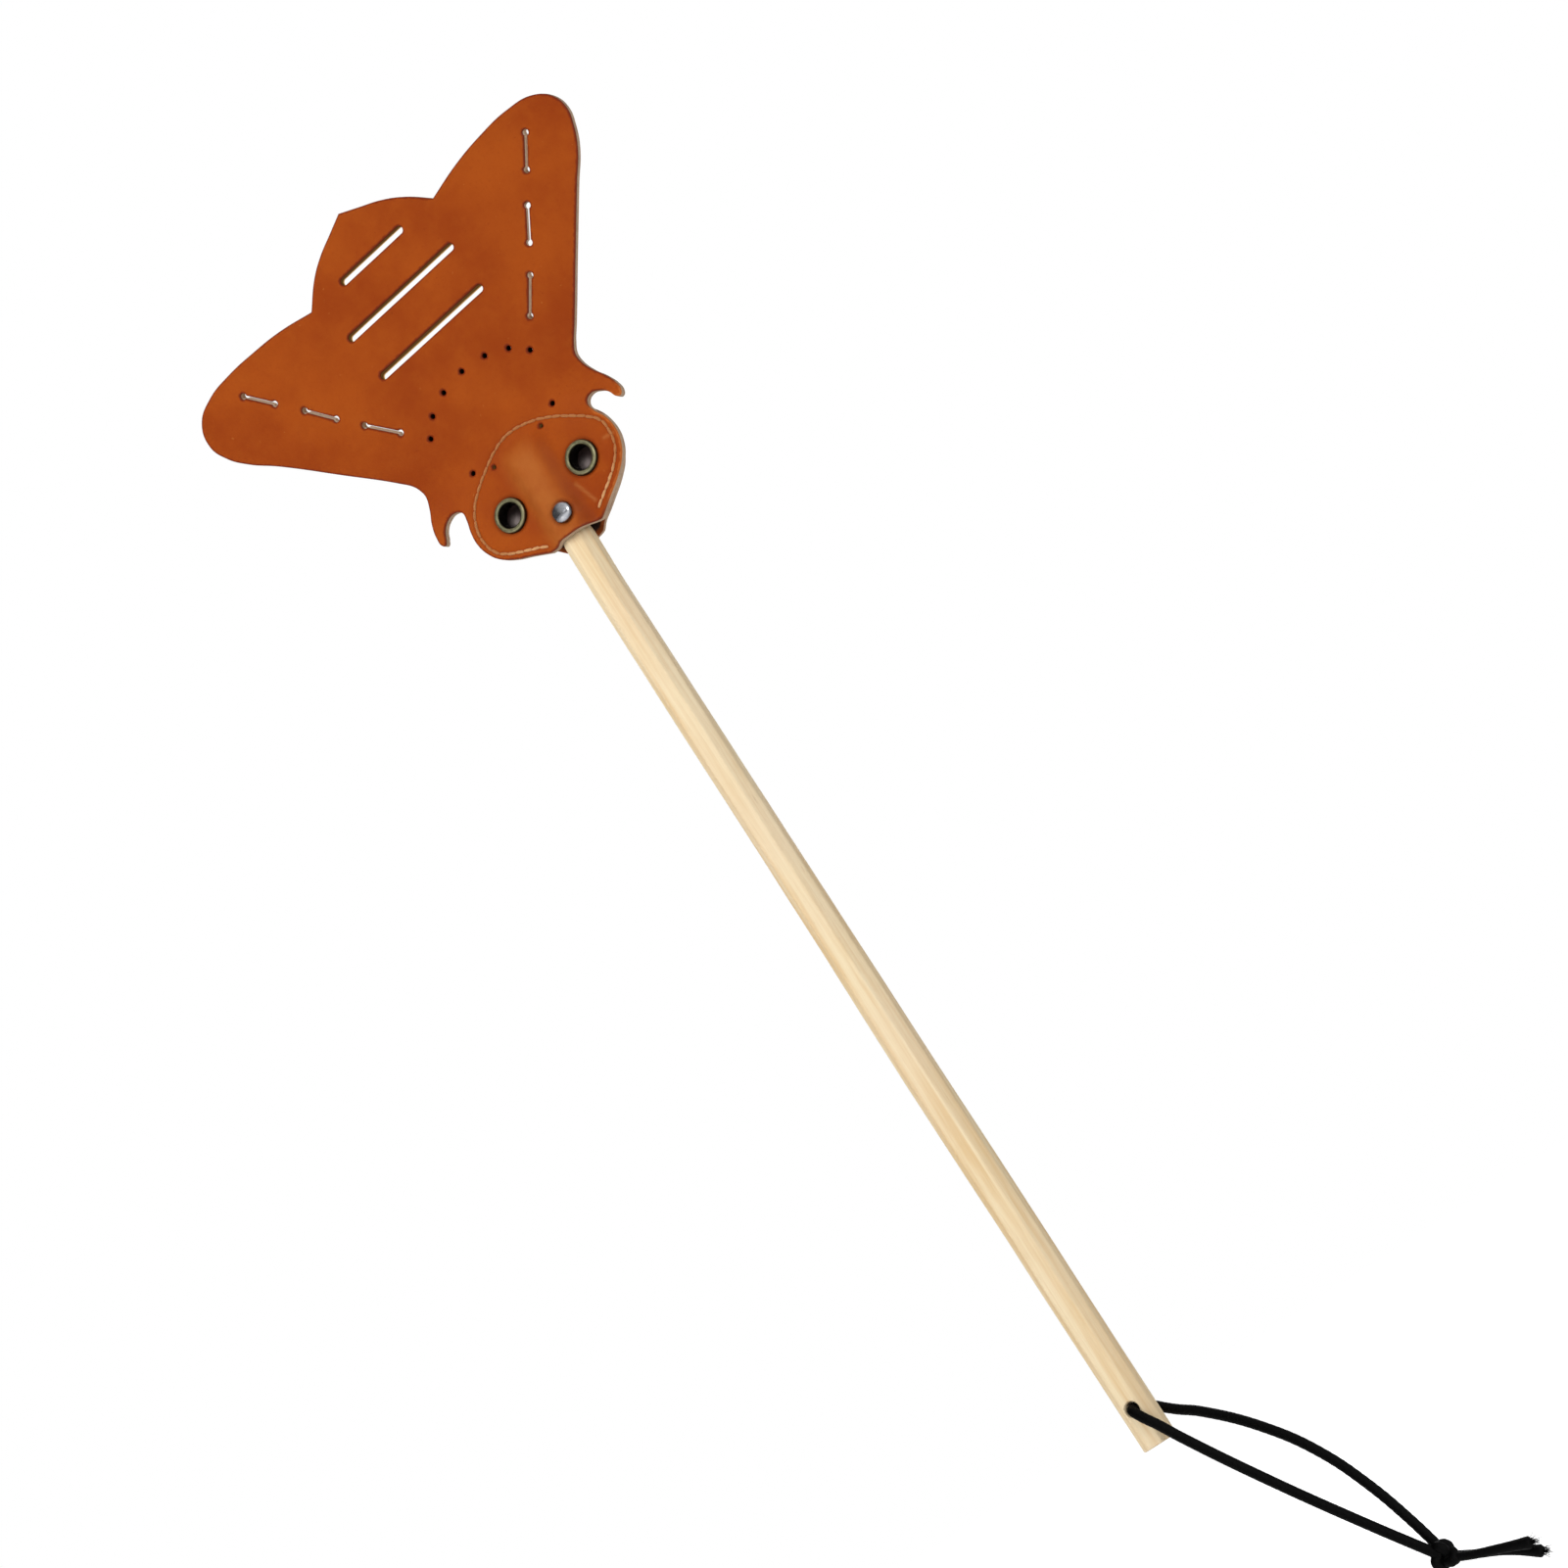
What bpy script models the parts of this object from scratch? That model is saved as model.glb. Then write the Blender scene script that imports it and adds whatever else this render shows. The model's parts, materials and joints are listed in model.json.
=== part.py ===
"""Leather fly swatter on a wooden stick, as an assembly of its real pieces.

Frame: metres, +Z up along the stick, +X to the right, -Y towards the viewer of the blade's front.
The origin is the centre of the stick's lower end face. The blade's own heights are measured from
the mouth of the leather pocket, which is MOUTH_Z above the origin.
"""
import math

import bmesh
import bpy
from mathutils import Matrix, Vector

MM = 0.001

# Stick
MOUTH_Z = 321.0 * MM            # lower end face to the pocket's mouth
INSERTED = 30.0 * MM            # length of stick inside the pocket
STICK_WIDTH = 10.2 * MM
STICK_DEPTH = 9.0 * MM
STICK_CHAMFER = 2.7 * MM
STICK_END_CHAMFER = 0.6 * MM
SHOULDER = 5.0 * MM             # inside the pocket the stick is whittled down quickly to here
SHOULDER_DEPTH = 6.6 * MM
TIP_DEPTH = 4.6 * MM            # and then slowly to its hidden end
TIP_WIDTH = 0.86                # share of the width left at the hidden end
CORD_HOLE_Z = 12.0 * MM
CORD_HOLE_RADIUS = 2.1 * MM

# Leather
SHEET = 3.0 * MM                # front leather thickness
PATCH = 2.0 * MM                # back patch thickness
GAP = 0.3 * MM                  # clearance between neighbouring pieces
SEAM_Y = 0.8 * MM               # plane between the two leathers where they are sewn flat
NECK = 44.0 * MM                # flex line, above the pocket's mouth
NECK_CHAMFER = 1.45 * MM
BLADE_LEAN = math.radians(14.0)
TUNNEL_X = 1.4 * MM             # the tunnel is moulded a little to the right of the stick's middle
TUNNEL_TOP = 3.2 * MM           # half-width of the tunnel's flat crown
TUNNEL_FOOT = 9.8 * MM          # half-width where the tunnel meets the flat leather
TUNNEL_END = 31.0 * MM          # full height of the tunnel reaches here
TUNNEL_FADE = 39.5 * MM         # and the leather is flat again here
POCKET_DEPTH = 1.5 * MM         # room between the leathers for the backs of the eyelets
POCKET_CENTRE = 19.5 * MM       # height of the middle of that room
POCKET_RADII = (19.8 * MM, 10.8 * MM)
POCKET_FADE = 1.28              # the leathers meet again at this multiple of the radii
GRID = 1.6 * MM                 # mesh spacing over the tunnel
SLIVER = 0.08 * MM              # corners closer than this are merged

# Hardware
EYES = {"left": (-14.3, 20.0), "right": (16.1, 19.1)}  # in millimetres, punched by hand
EYELET_HOLE = 3.8 * MM
EYELET_BARREL = 4.2 * MM
EYELET_RIM = 5.6 * MM
EYELET_CLEARANCE = 4.5 * MM
WASHER = 0.4 * MM
RIVET_X = 2.6 * MM
RIVET_HEIGHT = 8.0 * MM
RIVET_CAP = 3.4 * MM
RIVET_TUBE = 1.5 * MM
RIVET_BORE = 1.2 * MM
RIVET_SHANK = 0.9 * MM
RIVET_CLEARANCE = 1.8 * MM
TURN_SEGMENTS = 32

# Stitching and cord
THREAD_RADIUS = 0.35 * MM
CORD_RADIUS = 1.35 * MM
CORD_ANGLE = math.radians(34.2)  # resting direction of the loop, from straight down towards +X
KNOT_DISTANCE = 93.0 * MM

# Planes that follow from the sizes above
FRONT_BACK_FACE = SEAM_Y - GAP / 2
FRONT_FACE = FRONT_BACK_FACE - SHEET
PATCH_FRONT_FACE = SEAM_Y + GAP / 2
PATCH_FACE = PATCH_FRONT_FACE + PATCH
SHEET_MIDDLE = (FRONT_FACE + FRONT_BACK_FACE) / 2

# Outlines, in millimetres outwards from the middle line and up from the pocket's mouth. The two
# sides were cut by hand and differ a little. Each stretch is one smooth curve, and stretches
# meet at corners.
ABDOMEN = [(0, 128.5), (6.8, 125.6), (13.7, 122.6), (20, 118.7), (27.6, 111.8)]
WING_RIGHT = [(27.6, 111.8), (40, 114.6), (52, 116), (64, 116), (73.5, 113.8), (78.2, 109.4), (79.4, 104),
              (77.6, 98.4), (74.3, 92.7), (67, 84.8), (52.2, 68.6), (38.8, 53.7), (35, 49.6), (33.2, 46.8),
              (33, 44.15)]
WING_LEFT = [(27.6, 111.8), (40, 114.2), (52, 115.2), (64, 115.4), (74, 114), (81.6, 109.9), (84.4, 102.6),
             (82.2, 95.9), (77.5, 90), (69.2, 82.6), (53.8, 67), (40, 52.8), (36.8, 48.9), (35.8, 46.4),
             (35.5, 44.15)]
HOOK_RIGHT = [(33, 43.85), (34.5, 39.3), (37.2, 34.6), (38.8, 30.6), (39, 27.8), (38, 26.4), (36.7, 26.8),
              (35.2, 29.8), (32.8, 32.2), (29.8, 33.3), (27.4, 31.9), (27.7, 28.7), (29.7, 24.6), (30.6, 20),
              (29.7, 15), (27.1, 10.7), (22.6, 6.9), (16.8, 3.4), (10.7, -0.3)]
HOOK_LEFT = [(35.5, 43.85), (36.8, 40), (39.2, 35), (40.2, 30.6), (40, 27.8), (38.9, 26.9), (37.7, 28.2),
             (36.3, 30.8), (33.4, 32.9), (30.3, 33.2), (28, 31.5), (28.1, 28.7), (29.2, 24.3), (29.4, 19.9),
             (28.1, 15.3), (25.7, 11.6), (21.5, 8.3), (15.9, 5.4), (9.7, 2)]
MOUTH_RIGHT = [(10.7, -0.3), (0, 0.6)]
MOUTH_LEFT = [(9.7, 2), (0, 0.6)]
PATCH_RIGHT = [(0, 43.4), (8.5, 42.4), (15, 39.4), (21, 35.6), (26.2, 31), (29.2, 25), (29.5, 20),
               (28.2, 15.5), (26.1, 11.2), (22, 7.3), (16.6, 3.8), (11, 0.6), (6.5, -1)]
PATCH_LEFT = [(0, 43.4), (8.5, 42.4), (15, 39.4), (21, 35.4), (25.6, 31), (28.3, 25), (28.7, 20),
              (27.5, 15.4), (25.2, 11.9), (21.2, 8.9), (15.7, 6), (10, 3), (6.5, -0.6)]
PATCH_END_RIGHT = [(6.5, -1), (0, -1.2)]
PATCH_END_LEFT = [(6.5, -0.6), (0, -1.2)]
SEAM_RIGHT = [(0, 41.3), (8.2, 39.4), (14.4, 36.3), (20.4, 32), (25.2, 27.9), (28, 24.2), (28.5, 19.8),
              (27.2, 14.8), (24.6, 11.4), (20.2, 8.1), (15.2, 5.1), (11.7, 3.1)]
SEAM_LEFT = [(0, 41.3), (6.6, 40.2), (13, 37.2), (19.2, 33.5), (24, 29.2), (26.5, 24.3), (27.1, 20),
             (25.6, 14.4), (22, 10.9), (16.4, 7.9), (12, 5.7), (9.4, 4.2)]

# Cut-outs of the blade, in the same millimetres
SLOTS = [(13.7, 111.8), (23.4, 97.1), (22.7, 81.5)]
SLOT_HALF_HEIGHT = 1.25
WING_SLITS = [((64.9, 107.9), (56.5, 97.7)), ((51.0, 91.2), (42.8, 80.7)), ((37.8, 74.7), (28.3, 63.8))]
SLIT_HALF_WIDTH = 0.5
PUNCH_RADIUS = 1.05
DOT_RADIUS = 0.85
COLLAR_CENTRE = 51.0
COLLAR_RADII = (24.0, 15.0)
COLLAR_STEP = math.radians(22.5)
NECK_DOTS = [(17.6, 39.2), (10.4, 36.0)]

# Cord centre line: distance from the hole towards the knot, sideways offset, distance from the
# stick's middle plane, all in millimetres
FRONT_STRAND = [(0, 0, 0), (0, 0, -3.6), (0.7, 0, -5.6), (3, 0, -6.4), (9, 0, -6.5), (16, -0.4, -6.3),
                (43, -1.2, -4.2), (72, -0.8, -2.6), (93, 0, -1.6)]
REAR_STRAND = [(0, 0, 0), (0, 0, 3.6), (0.7, 0, 5.6), (3, 0.3, 6.4), (9, 1.2, 6.5), (16, 3.8, 6.3),
               (36.5, 8.2, 4.6), (52, 9.1, 3.6), (67, 7.2, 2.8), (80, 4.0, 2.2), (93, 0, 1.6)]
TAILS = [[(91.8, -0.6, -1.5), (99, 3.4, -1.6), (106, 9.0, -1.7), (113, 14.6, -1.8)],
         [(91.8, -0.4, 1.5), (99, 2.8, 1.6), (107, 8.0, 1.7), (116.5, 12.6, 1.8)]]
TAIL_FLARE = 1.35
KNOT_RADII = (4.3 * MM, 3.9 * MM, 4.1 * MM)


def linear(red, green, blue):
    """Display colour, 0 to 255, as the linear colour a material needs."""
    return tuple((channel / 255) ** 2.2 for channel in (red, green, blue)) + (1.0,)


LEATHER_COLOUR = linear(168, 76, 28)
SUEDE_COLOUR = linear(176, 150, 130)
THREAD_COLOUR = linear(214, 160, 104)
BRASS_COLOUR = linear(140, 126, 88)
NICKEL_COLOUR = linear(188, 190, 196)
WOOD_COLOUR = linear(232, 208, 164)
CORD_COLOUR = linear(18, 16, 17)


def clear_scene():
    for old in list(bpy.data.objects):
        bpy.data.objects.remove(old, do_unlink=True)


def add_object(name, data, parent=None, location=(0, 0, 0)):
    part = bpy.data.objects.new(name, data)
    bpy.context.collection.objects.link(part)
    part.parent = parent
    part.location = location
    return part


def add_pivot(name, location, rotation):
    pivot = add_object(name, None, location=location)
    pivot.rotation_euler = rotation
    pivot.empty_display_size = 10 * MM
    return pivot


def paint(part, colour, roughness, metallic=0.0):
    material = bpy.data.materials.new(part.name + "_material")
    material.use_nodes = True
    shader = material.node_tree.nodes["Principled BSDF"]
    shader.inputs["Base Color"].default_value = colour
    shader.inputs["Roughness"].default_value = roughness
    shader.inputs["Metallic"].default_value = metallic
    part.data.materials.append(material)


def smooth_round(part):
    part.data.shade_smooth()


def mirrored(points):
    return [(-x, z) for x, z in points]


def left_side(stretches):
    """The stretches of a left side, turned to follow on from the right side."""
    return [mirrored(stretch)[::-1] for stretch in stretches[::-1]]


def smoothstep(low, high, value):
    t = min(max((value - low) / (high - low), 0.0), 1.0)
    return t * t * (3 - 2 * t)


def stick_half_depth(height):
    """Half of the stick's depth at a height above the mouth: full outside the pocket, whittled inside it."""
    quick = min(max(height / SHOULDER, 0.0), 1.0)
    slow = min(max((height - SHOULDER) / (INSERTED - SHOULDER), 0.0), 1.0)
    depth = STICK_DEPTH - (STICK_DEPTH - SHOULDER_DEPTH) * quick - (SHOULDER_DEPTH - TIP_DEPTH) * slow
    return depth / 2


def tunnel(x, height):
    """Share of the tunnel's full rise at a point of the head, from 0 to 1."""
    across = 1 - smoothstep(TUNNEL_TOP, TUNNEL_FOOT, abs(x - TUNNEL_X))
    along = 1 - smoothstep(TUNNEL_END, TUNNEL_FADE, height)
    return across * along


def pocket(x, height):
    """Share of the pocket's full depth at a point of the head, from 0 to 1."""
    reach = math.hypot(x / POCKET_RADII[0], (height - POCKET_CENTRE) / POCKET_RADII[1])
    return 1 - smoothstep(1.0, POCKET_FADE, reach)


def add_stretches(curve, stretches):
    """Add one closed spline that is smooth along each stretch and has a corner between them."""
    points = []
    for stretch in stretches:
        points += [(point, index == 0) for index, point in enumerate(stretch[:-1])]
    spline = curve.splines.new("BEZIER")
    spline.bezier_points.add(len(points) - 1)
    spline.use_cyclic_u = True
    for knot, ((x, z), corner) in zip(spline.bezier_points, points):
        knot.co = (x * MM, z * MM, 0)
        kind = "VECTOR" if corner else "AUTO"
        knot.handle_left_type = kind
        knot.handle_right_type = kind


def add_polygon(curve, points):
    spline = curve.splines.new("POLY")
    spline.points.add(len(points) - 1)
    spline.use_cyclic_u = True
    for vertex, (x, z) in zip(spline.points, points):
        vertex.co = (x * MM, z * MM, 0, 1)


def circle_points(centre, radius, count=12):
    turns = [2 * math.pi * index / count for index in range(count)]
    return [(centre[0] + radius * math.cos(a), centre[1] + radius * math.sin(a)) for a in turns]


def punched_slit(start, end, end_radius, half_width):
    """Outline of a slit with a round punched hole at both ends."""
    start = Vector(start)
    end = Vector(end)
    along = (end - start).normalized()
    inset = end_radius
    heading = math.atan2(along.y, along.x)
    opening = math.asin(min(half_width / end_radius, 1.0))
    sweep = 2 * math.pi - 2 * opening
    points = []
    for centre, facing in ((end - along * inset, heading), (start + along * inset, heading + math.pi)):
        for index in range(11):
            angle = facing - sweep / 2 + sweep * index / 10
            points.append((centre.x + end_radius * math.cos(angle), centre.y + end_radius * math.sin(angle)))
    return points


def flat_sheet(stretches, holes, thickness):
    """Closed sheet in the XZ plane, its middle at y = 0, as a bmesh."""
    curve = bpy.data.curves.new("outline", "CURVE")
    curve.dimensions = "2D"
    curve.fill_mode = "BOTH"
    curve.extrude = thickness / 2
    curve.resolution_u = 4
    add_stretches(curve, stretches)
    for hole in holes:
        add_polygon(curve, hole)
    drawing = add_object("outline", curve)
    mesh = bpy.data.meshes.new_from_object(drawing.evaluated_get(bpy.context.evaluated_depsgraph_get()))
    bpy.data.objects.remove(drawing)
    sheet = bmesh.new()
    sheet.from_mesh(mesh)
    bpy.data.meshes.remove(mesh)
    bmesh.ops.remove_doubles(sheet, verts=sheet.verts, dist=0.001 * MM)
    bmesh.ops.rotate(sheet, verts=sheet.verts, matrix=Matrix.Rotation(math.pi / 2, 3, "X"))
    bmesh.ops.recalc_face_normals(sheet, faces=sheet.faces)
    return sheet


def cut_grid(sheet, x_cuts, z_cuts):
    """Add edge loops at given places, so that the sheet can bend there."""
    for axis, cuts in ((Vector((1, 0, 0)), x_cuts), (Vector((0, 0, 1)), z_cuts)):
        for place in cuts:
            everything = sheet.verts[:] + sheet.edges[:] + sheet.faces[:]
            bmesh.ops.bisect_plane(sheet, geom=everything, plane_co=axis * place, plane_no=axis)
    bmesh.ops.remove_doubles(sheet, verts=sheet.verts, dist=SLIVER)


def head_grid():
    """Where the head's leathers are cut so that they can follow the tunnel and the pocket."""
    half = int(TUNNEL_FOOT / GRID) + 1
    across = [TUNNEL_X + index * GRID for index in range(-half, half + 1)]
    side = [POCKET_RADII[0] * (1 + index * (POCKET_FADE - 1) / 4) for index in range(5)]
    across += side + [-x for x in side]
    below = [POCKET_CENTRE - POCKET_RADII[1] * (1 + index * (POCKET_FADE - 1) / 3) for index in range(4)]
    above = [TUNNEL_END + index * (TUNNEL_FADE - TUNNEL_END) / 5 for index in range(6)]
    return across, [0.0, SHOULDER, INSERTED] + below + above


def finish_mesh(name, shape, parent=None, location=(0, 0, 0)):
    mesh = bpy.data.meshes.new(name)
    bmesh.ops.triangulate(shape, faces=shape.faces)
    shape.to_mesh(mesh)
    shape.free()
    return add_object(name, mesh, parent, location)


def collar_dots():
    dots = []
    for index in range(-3, 4):
        angle = index * COLLAR_STEP
        x = COLLAR_RADII[0] * math.sin(angle)
        dots.append((x, COLLAR_CENTRE + COLLAR_RADII[1] * math.cos(angle)))
    return dots


def chamfer_neck(sheet):
    """Cut the lower edge back at 45 degrees on both faces, so that the blade can turn about its middle."""
    edge = min(vertex.co.z for vertex in sheet.verts)
    for side in (-1, 1):
        corner = Vector((0, side * (SHEET / 2 - NECK_CHAMFER), edge))
        everything = sheet.verts[:] + sheet.edges[:] + sheet.faces[:]
        cut = bmesh.ops.bisect_plane(sheet, geom=everything, plane_co=corner, plane_no=Vector((0, side, -1)),
                                     clear_outer=True)
        rim = [item for item in cut["geom_cut"] if isinstance(item, bmesh.types.BMEdge)]
        bmesh.ops.triangle_fill(sheet, edges=rim, use_beauty=True)


def make_leather_blade(pivot):
    """Wings and abdomen: the single-thickness leather beyond the flex line."""
    neck_line = [WING_RIGHT[-1], mirrored(WING_LEFT)[-1]]
    holes = [circle_points(dot, DOT_RADIUS) for dot in collar_dots()]
    for half_width, height in SLOTS:
        start = (-half_width, height)
        holes.append(punched_slit(start, (half_width, height), SLOT_HALF_HEIGHT, SLOT_HALF_HEIGHT))
    for outer, inner in WING_SLITS:
        holes.append(punched_slit(outer, inner, PUNCH_RADIUS, SLIT_HALF_WIDTH))
        holes.append(punched_slit(*mirrored((outer, inner)), PUNCH_RADIUS, SLIT_HALF_WIDTH))
    outline = [ABDOMEN, WING_RIGHT, neck_line] + left_side([ABDOMEN, WING_LEFT])
    sheet = flat_sheet(outline, holes, SHEET)
    bmesh.ops.translate(sheet, verts=sheet.verts, vec=(0, 0, -NECK))
    chamfer_neck(sheet)
    blade = finish_mesh("leather_blade", sheet, pivot)
    paint(blade, LEATHER_COLOUR, 0.45)


def rivet_hole():
    return circle_points((RIVET_X / MM, RIVET_HEIGHT / MM), RIVET_CLEARANCE / MM, 16)


def eyelet_holes():
    return [circle_points(centre, EYELET_CLEARANCE / MM, 24) for centre in EYES.values()]


def make_leather_head_front():
    """Front of the pocket with the two hooks, raised over the stick."""
    neck_line = [mirrored(HOOK_LEFT)[0], HOOK_RIGHT[0]]
    outline = [HOOK_RIGHT, MOUTH_RIGHT] + left_side([HOOK_LEFT, MOUTH_LEFT]) + [neck_line]
    dots = [circle_points((side * x, z), DOT_RADIUS) for x, z in NECK_DOTS for side in (-1, 1)]
    sheet = flat_sheet(outline, eyelet_holes() + [rivet_hole()] + dots, SHEET)
    cut_grid(sheet, *head_grid())
    for vertex in sheet.verts:
        rise = FRONT_BACK_FACE + stick_half_depth(vertex.co.z) + GAP
        vertex.co.y -= rise * tunnel(vertex.co.x, vertex.co.z)
    head = finish_mesh("leather_head_front", sheet, location=(0, SHEET_MIDDLE, MOUTH_Z))
    paint(head, LEATHER_COLOUR, 0.45)


def make_leather_head_back():
    """Back of the pocket: a closed head-shaped patch, standing off behind the eyelets and the stick."""
    outline = [PATCH_RIGHT, PATCH_END_RIGHT] + left_side([PATCH_LEFT, PATCH_END_LEFT])
    sheet = flat_sheet(outline, [rivet_hole()], PATCH)
    cut_grid(sheet, *head_grid())
    for vertex in sheet.verts:
        depth = POCKET_DEPTH * pocket(vertex.co.x, vertex.co.z)
        rise = stick_half_depth(vertex.co.z) + GAP - PATCH_FRONT_FACE
        vertex.co.y += depth + (rise - depth) * tunnel(vertex.co.x, vertex.co.z)
    middle = (PATCH_FRONT_FACE + PATCH_FACE) / 2
    patch = finish_mesh("leather_head_back", sheet, location=(0, middle, MOUTH_Z))
    paint(patch, SUEDE_COLOUR, 0.9)


def make_thread(name, y):
    """One run of thread on one face of the head, from one side of the mouth round to the other."""
    points = [Vector((x, y / MM, z)) * MM for x, z in mirrored(SEAM_LEFT)[:0:-1] + SEAM_RIGHT]
    thread = swept_tube(name, points, THREAD_RADIUS, 1)
    thread.location.z = MOUTH_Z
    paint(thread, THREAD_COLOUR, 0.7)


def turned(name, profile, location, colour, roughness):
    """Solid of revolution about its own Y axis from (radius, y) points, closed on the axis or as a ring."""
    shape = bmesh.new()
    ring = [shape.verts.new((radius, y, 0)) for radius, y in profile]
    edges = [shape.edges.new(pair) for pair in zip(ring, ring[1:])]
    if min(radius for radius, _ in profile) > 0:
        edges.append(shape.edges.new((ring[-1], ring[0])))
    bmesh.ops.spin(shape, geom=ring + edges, cent=(0, 0, 0), axis=(0, 1, 0), angle=2 * math.pi,
                   steps=TURN_SEGMENTS, use_merge=True)
    bmesh.ops.remove_doubles(shape, verts=shape.verts, dist=0.001 * MM)
    bmesh.ops.recalc_face_normals(shape, faces=shape.faces)
    part = finish_mesh(name, shape, location=location)
    paint(part, colour, roughness, 1.0)
    smooth_round(part)


def half_round(inner, outer, base, height, steps=6):
    """Points of a half-ellipse bead from radius inner to radius outer, standing off the plane y = base."""
    middle = (inner + outer) / 2
    reach = (outer - inner) / 2
    angles = [math.pi * index / steps for index in range(steps + 1)]
    return [(middle - reach * math.cos(a), base + height * math.sin(a)) for a in angles]


def make_eyelets():
    """Eyelets through the front leather, clinched over washers between the two leathers."""
    seat = FRONT_FACE - GAP
    washer_back = FRONT_BACK_FACE + GAP
    washer_face = washer_back + WASHER
    for side, (x, height) in EYES.items():
        place = (x * MM, 0, MOUTH_Z + height * MM)
        rim = half_round(EYELET_HOLE, EYELET_RIM, seat, -0.9 * MM)
        clinch = half_round(EYELET_HOLE, EYELET_RIM - 0.7 * MM, washer_face + GAP, 0.45 * MM)
        barrel = [(EYELET_BARREL, seat), (EYELET_BARREL, washer_face + GAP)]
        turned("eyelet_" + side, rim + barrel + clinch[::-1], place, BRASS_COLOUR, 0.35)
        bevel = 0.15 * MM
        outer = EYELET_RIM + 0.2 * MM
        washer = [(EYELET_CLEARANCE, washer_back), (outer, washer_back), (outer, washer_face - bevel),
                  (outer - bevel, washer_face), (EYELET_CLEARANCE, washer_face)]
        turned("eyelet_washer_" + side, washer, place, BRASS_COLOUR, 0.4)


def dome(radius, base, height, steps=5):
    """Rim-to-crown points of a domed rivet cap."""
    angles = [0.5 * math.pi * index / steps for index in range(steps + 1)]
    return [(radius * math.cos(a), base + height * math.sin(a)) for a in angles[:-1]] + [(0, base + height)]


def make_rivet():
    place = (RIVET_X, 0, MOUTH_Z + RIVET_HEIGHT)
    half_depth = stick_half_depth(RIVET_HEIGHT - RIVET_CAP)
    front = -half_depth - GAP - SHEET - GAP
    back = half_depth + GAP + PATCH + GAP
    lip = 0.4 * MM
    tube_end = 3.0 * MM
    cap = dome(RIVET_CAP, front - lip, -1.3 * MM)[::-1] + [(RIVET_CAP, front), (RIVET_TUBE, front)]
    tube = [(RIVET_TUBE, tube_end), (RIVET_BORE, tube_end), (RIVET_BORE, front), (0, front)]
    turned("rivet_cap", cap + tube, place, NICKEL_COLOUR, 0.2)
    tip = front + 1.2 * MM
    shank = [(0, tip), (RIVET_SHANK, tip), (RIVET_SHANK, back), (RIVET_CAP, back)]
    turned("rivet_post", shank + dome(RIVET_CAP, back + lip, 1.3 * MM), place, NICKEL_COLOUR, 0.2)


def stick_section(z, width, depth, chamfer):
    half_width = width / 2
    half_depth = depth / 2
    corners = []
    for sx, sy in ((1, 1), (-1, 1), (-1, -1), (1, -1)):
        pair = [(sx * half_width, sy * (half_depth - chamfer)), (sx * (half_width - chamfer), sy * half_depth)]
        corners += pair if sx * sy > 0 else pair[::-1]
    return [(x, y, z) for x, y in corners]


def make_wooden_handle():
    """Shaved stick with eight facets, fuller at the grip, thinned inside the pocket, drilled for the cord."""
    top = MOUTH_Z + INSERTED
    swell = [(0.03, 1.0), (0.16, 1.04), (0.33, 1.06), (0.55, 1.02), (0.8, 1.0)]
    shape = bmesh.new()
    sections = [(0.0, 1.0, STICK_END_CHAMFER), (STICK_END_CHAMFER, 1.0, 0.0)]
    sections += [(share * top, scale, 0.0) for share, scale in swell]
    shoulder_width = 1.0 - (1.0 - TIP_WIDTH) * SHOULDER / INSERTED
    sections += [(MOUTH_Z, 1.0, 0.0), (MOUTH_Z + SHOULDER, shoulder_width, 0.0)]
    sections += [(top - STICK_END_CHAMFER, TIP_WIDTH, 0.0), (top, TIP_WIDTH, STICK_END_CHAMFER)]
    rings = []
    for z, scale, inset in sections:
        width = STICK_WIDTH * scale - 2 * inset
        depth = 2 * (stick_half_depth(z - MOUTH_Z) - inset)
        chamfer = min(STICK_CHAMFER - 0.6 * inset, 0.42 * depth)
        points = stick_section(z, width, depth, chamfer)
        rings.append([shape.verts.new(point) for point in points])
    for lower, upper in zip(rings, rings[1:]):
        for index in range(8):
            following = (index + 1) % 8
            shape.faces.new((lower[index], lower[following], upper[following], upper[index]))
    shape.faces.new(rings[0][::-1])
    shape.faces.new(rings[-1])
    bmesh.ops.recalc_face_normals(shape, faces=shape.faces)
    handle = finish_mesh("wooden_handle", shape)
    drill(handle, (0, 0, CORD_HOLE_Z), CORD_HOLE_RADIUS)
    drill(handle, (RIVET_X, 0, MOUTH_Z + RIVET_HEIGHT), RIVET_CLEARANCE)
    paint(handle, WOOD_COLOUR, 0.6)


def drill(part, centre, radius):
    """Bore a hole along Y through a part."""
    shape = bmesh.new()
    bmesh.ops.create_cone(shape, cap_ends=True, segments=24, radius1=radius, radius2=radius,
                          depth=3 * STICK_DEPTH, matrix=Matrix.Rotation(math.pi / 2, 4, "X"))
    cutter = finish_mesh("drill_cutter", shape, location=centre)
    apply_boolean(part, cutter, "DIFFERENCE")


def apply_boolean(part, tool, operation):
    modifier = part.modifiers.new("join", "BOOLEAN")
    modifier.operation = operation
    modifier.solver = "EXACT"
    modifier.object = tool
    bpy.context.view_layer.update()
    result = bpy.data.meshes.new_from_object(part.evaluated_get(bpy.context.evaluated_depsgraph_get()))
    part.modifiers.remove(modifier)
    part.data = result
    bpy.data.objects.remove(tool)


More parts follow.
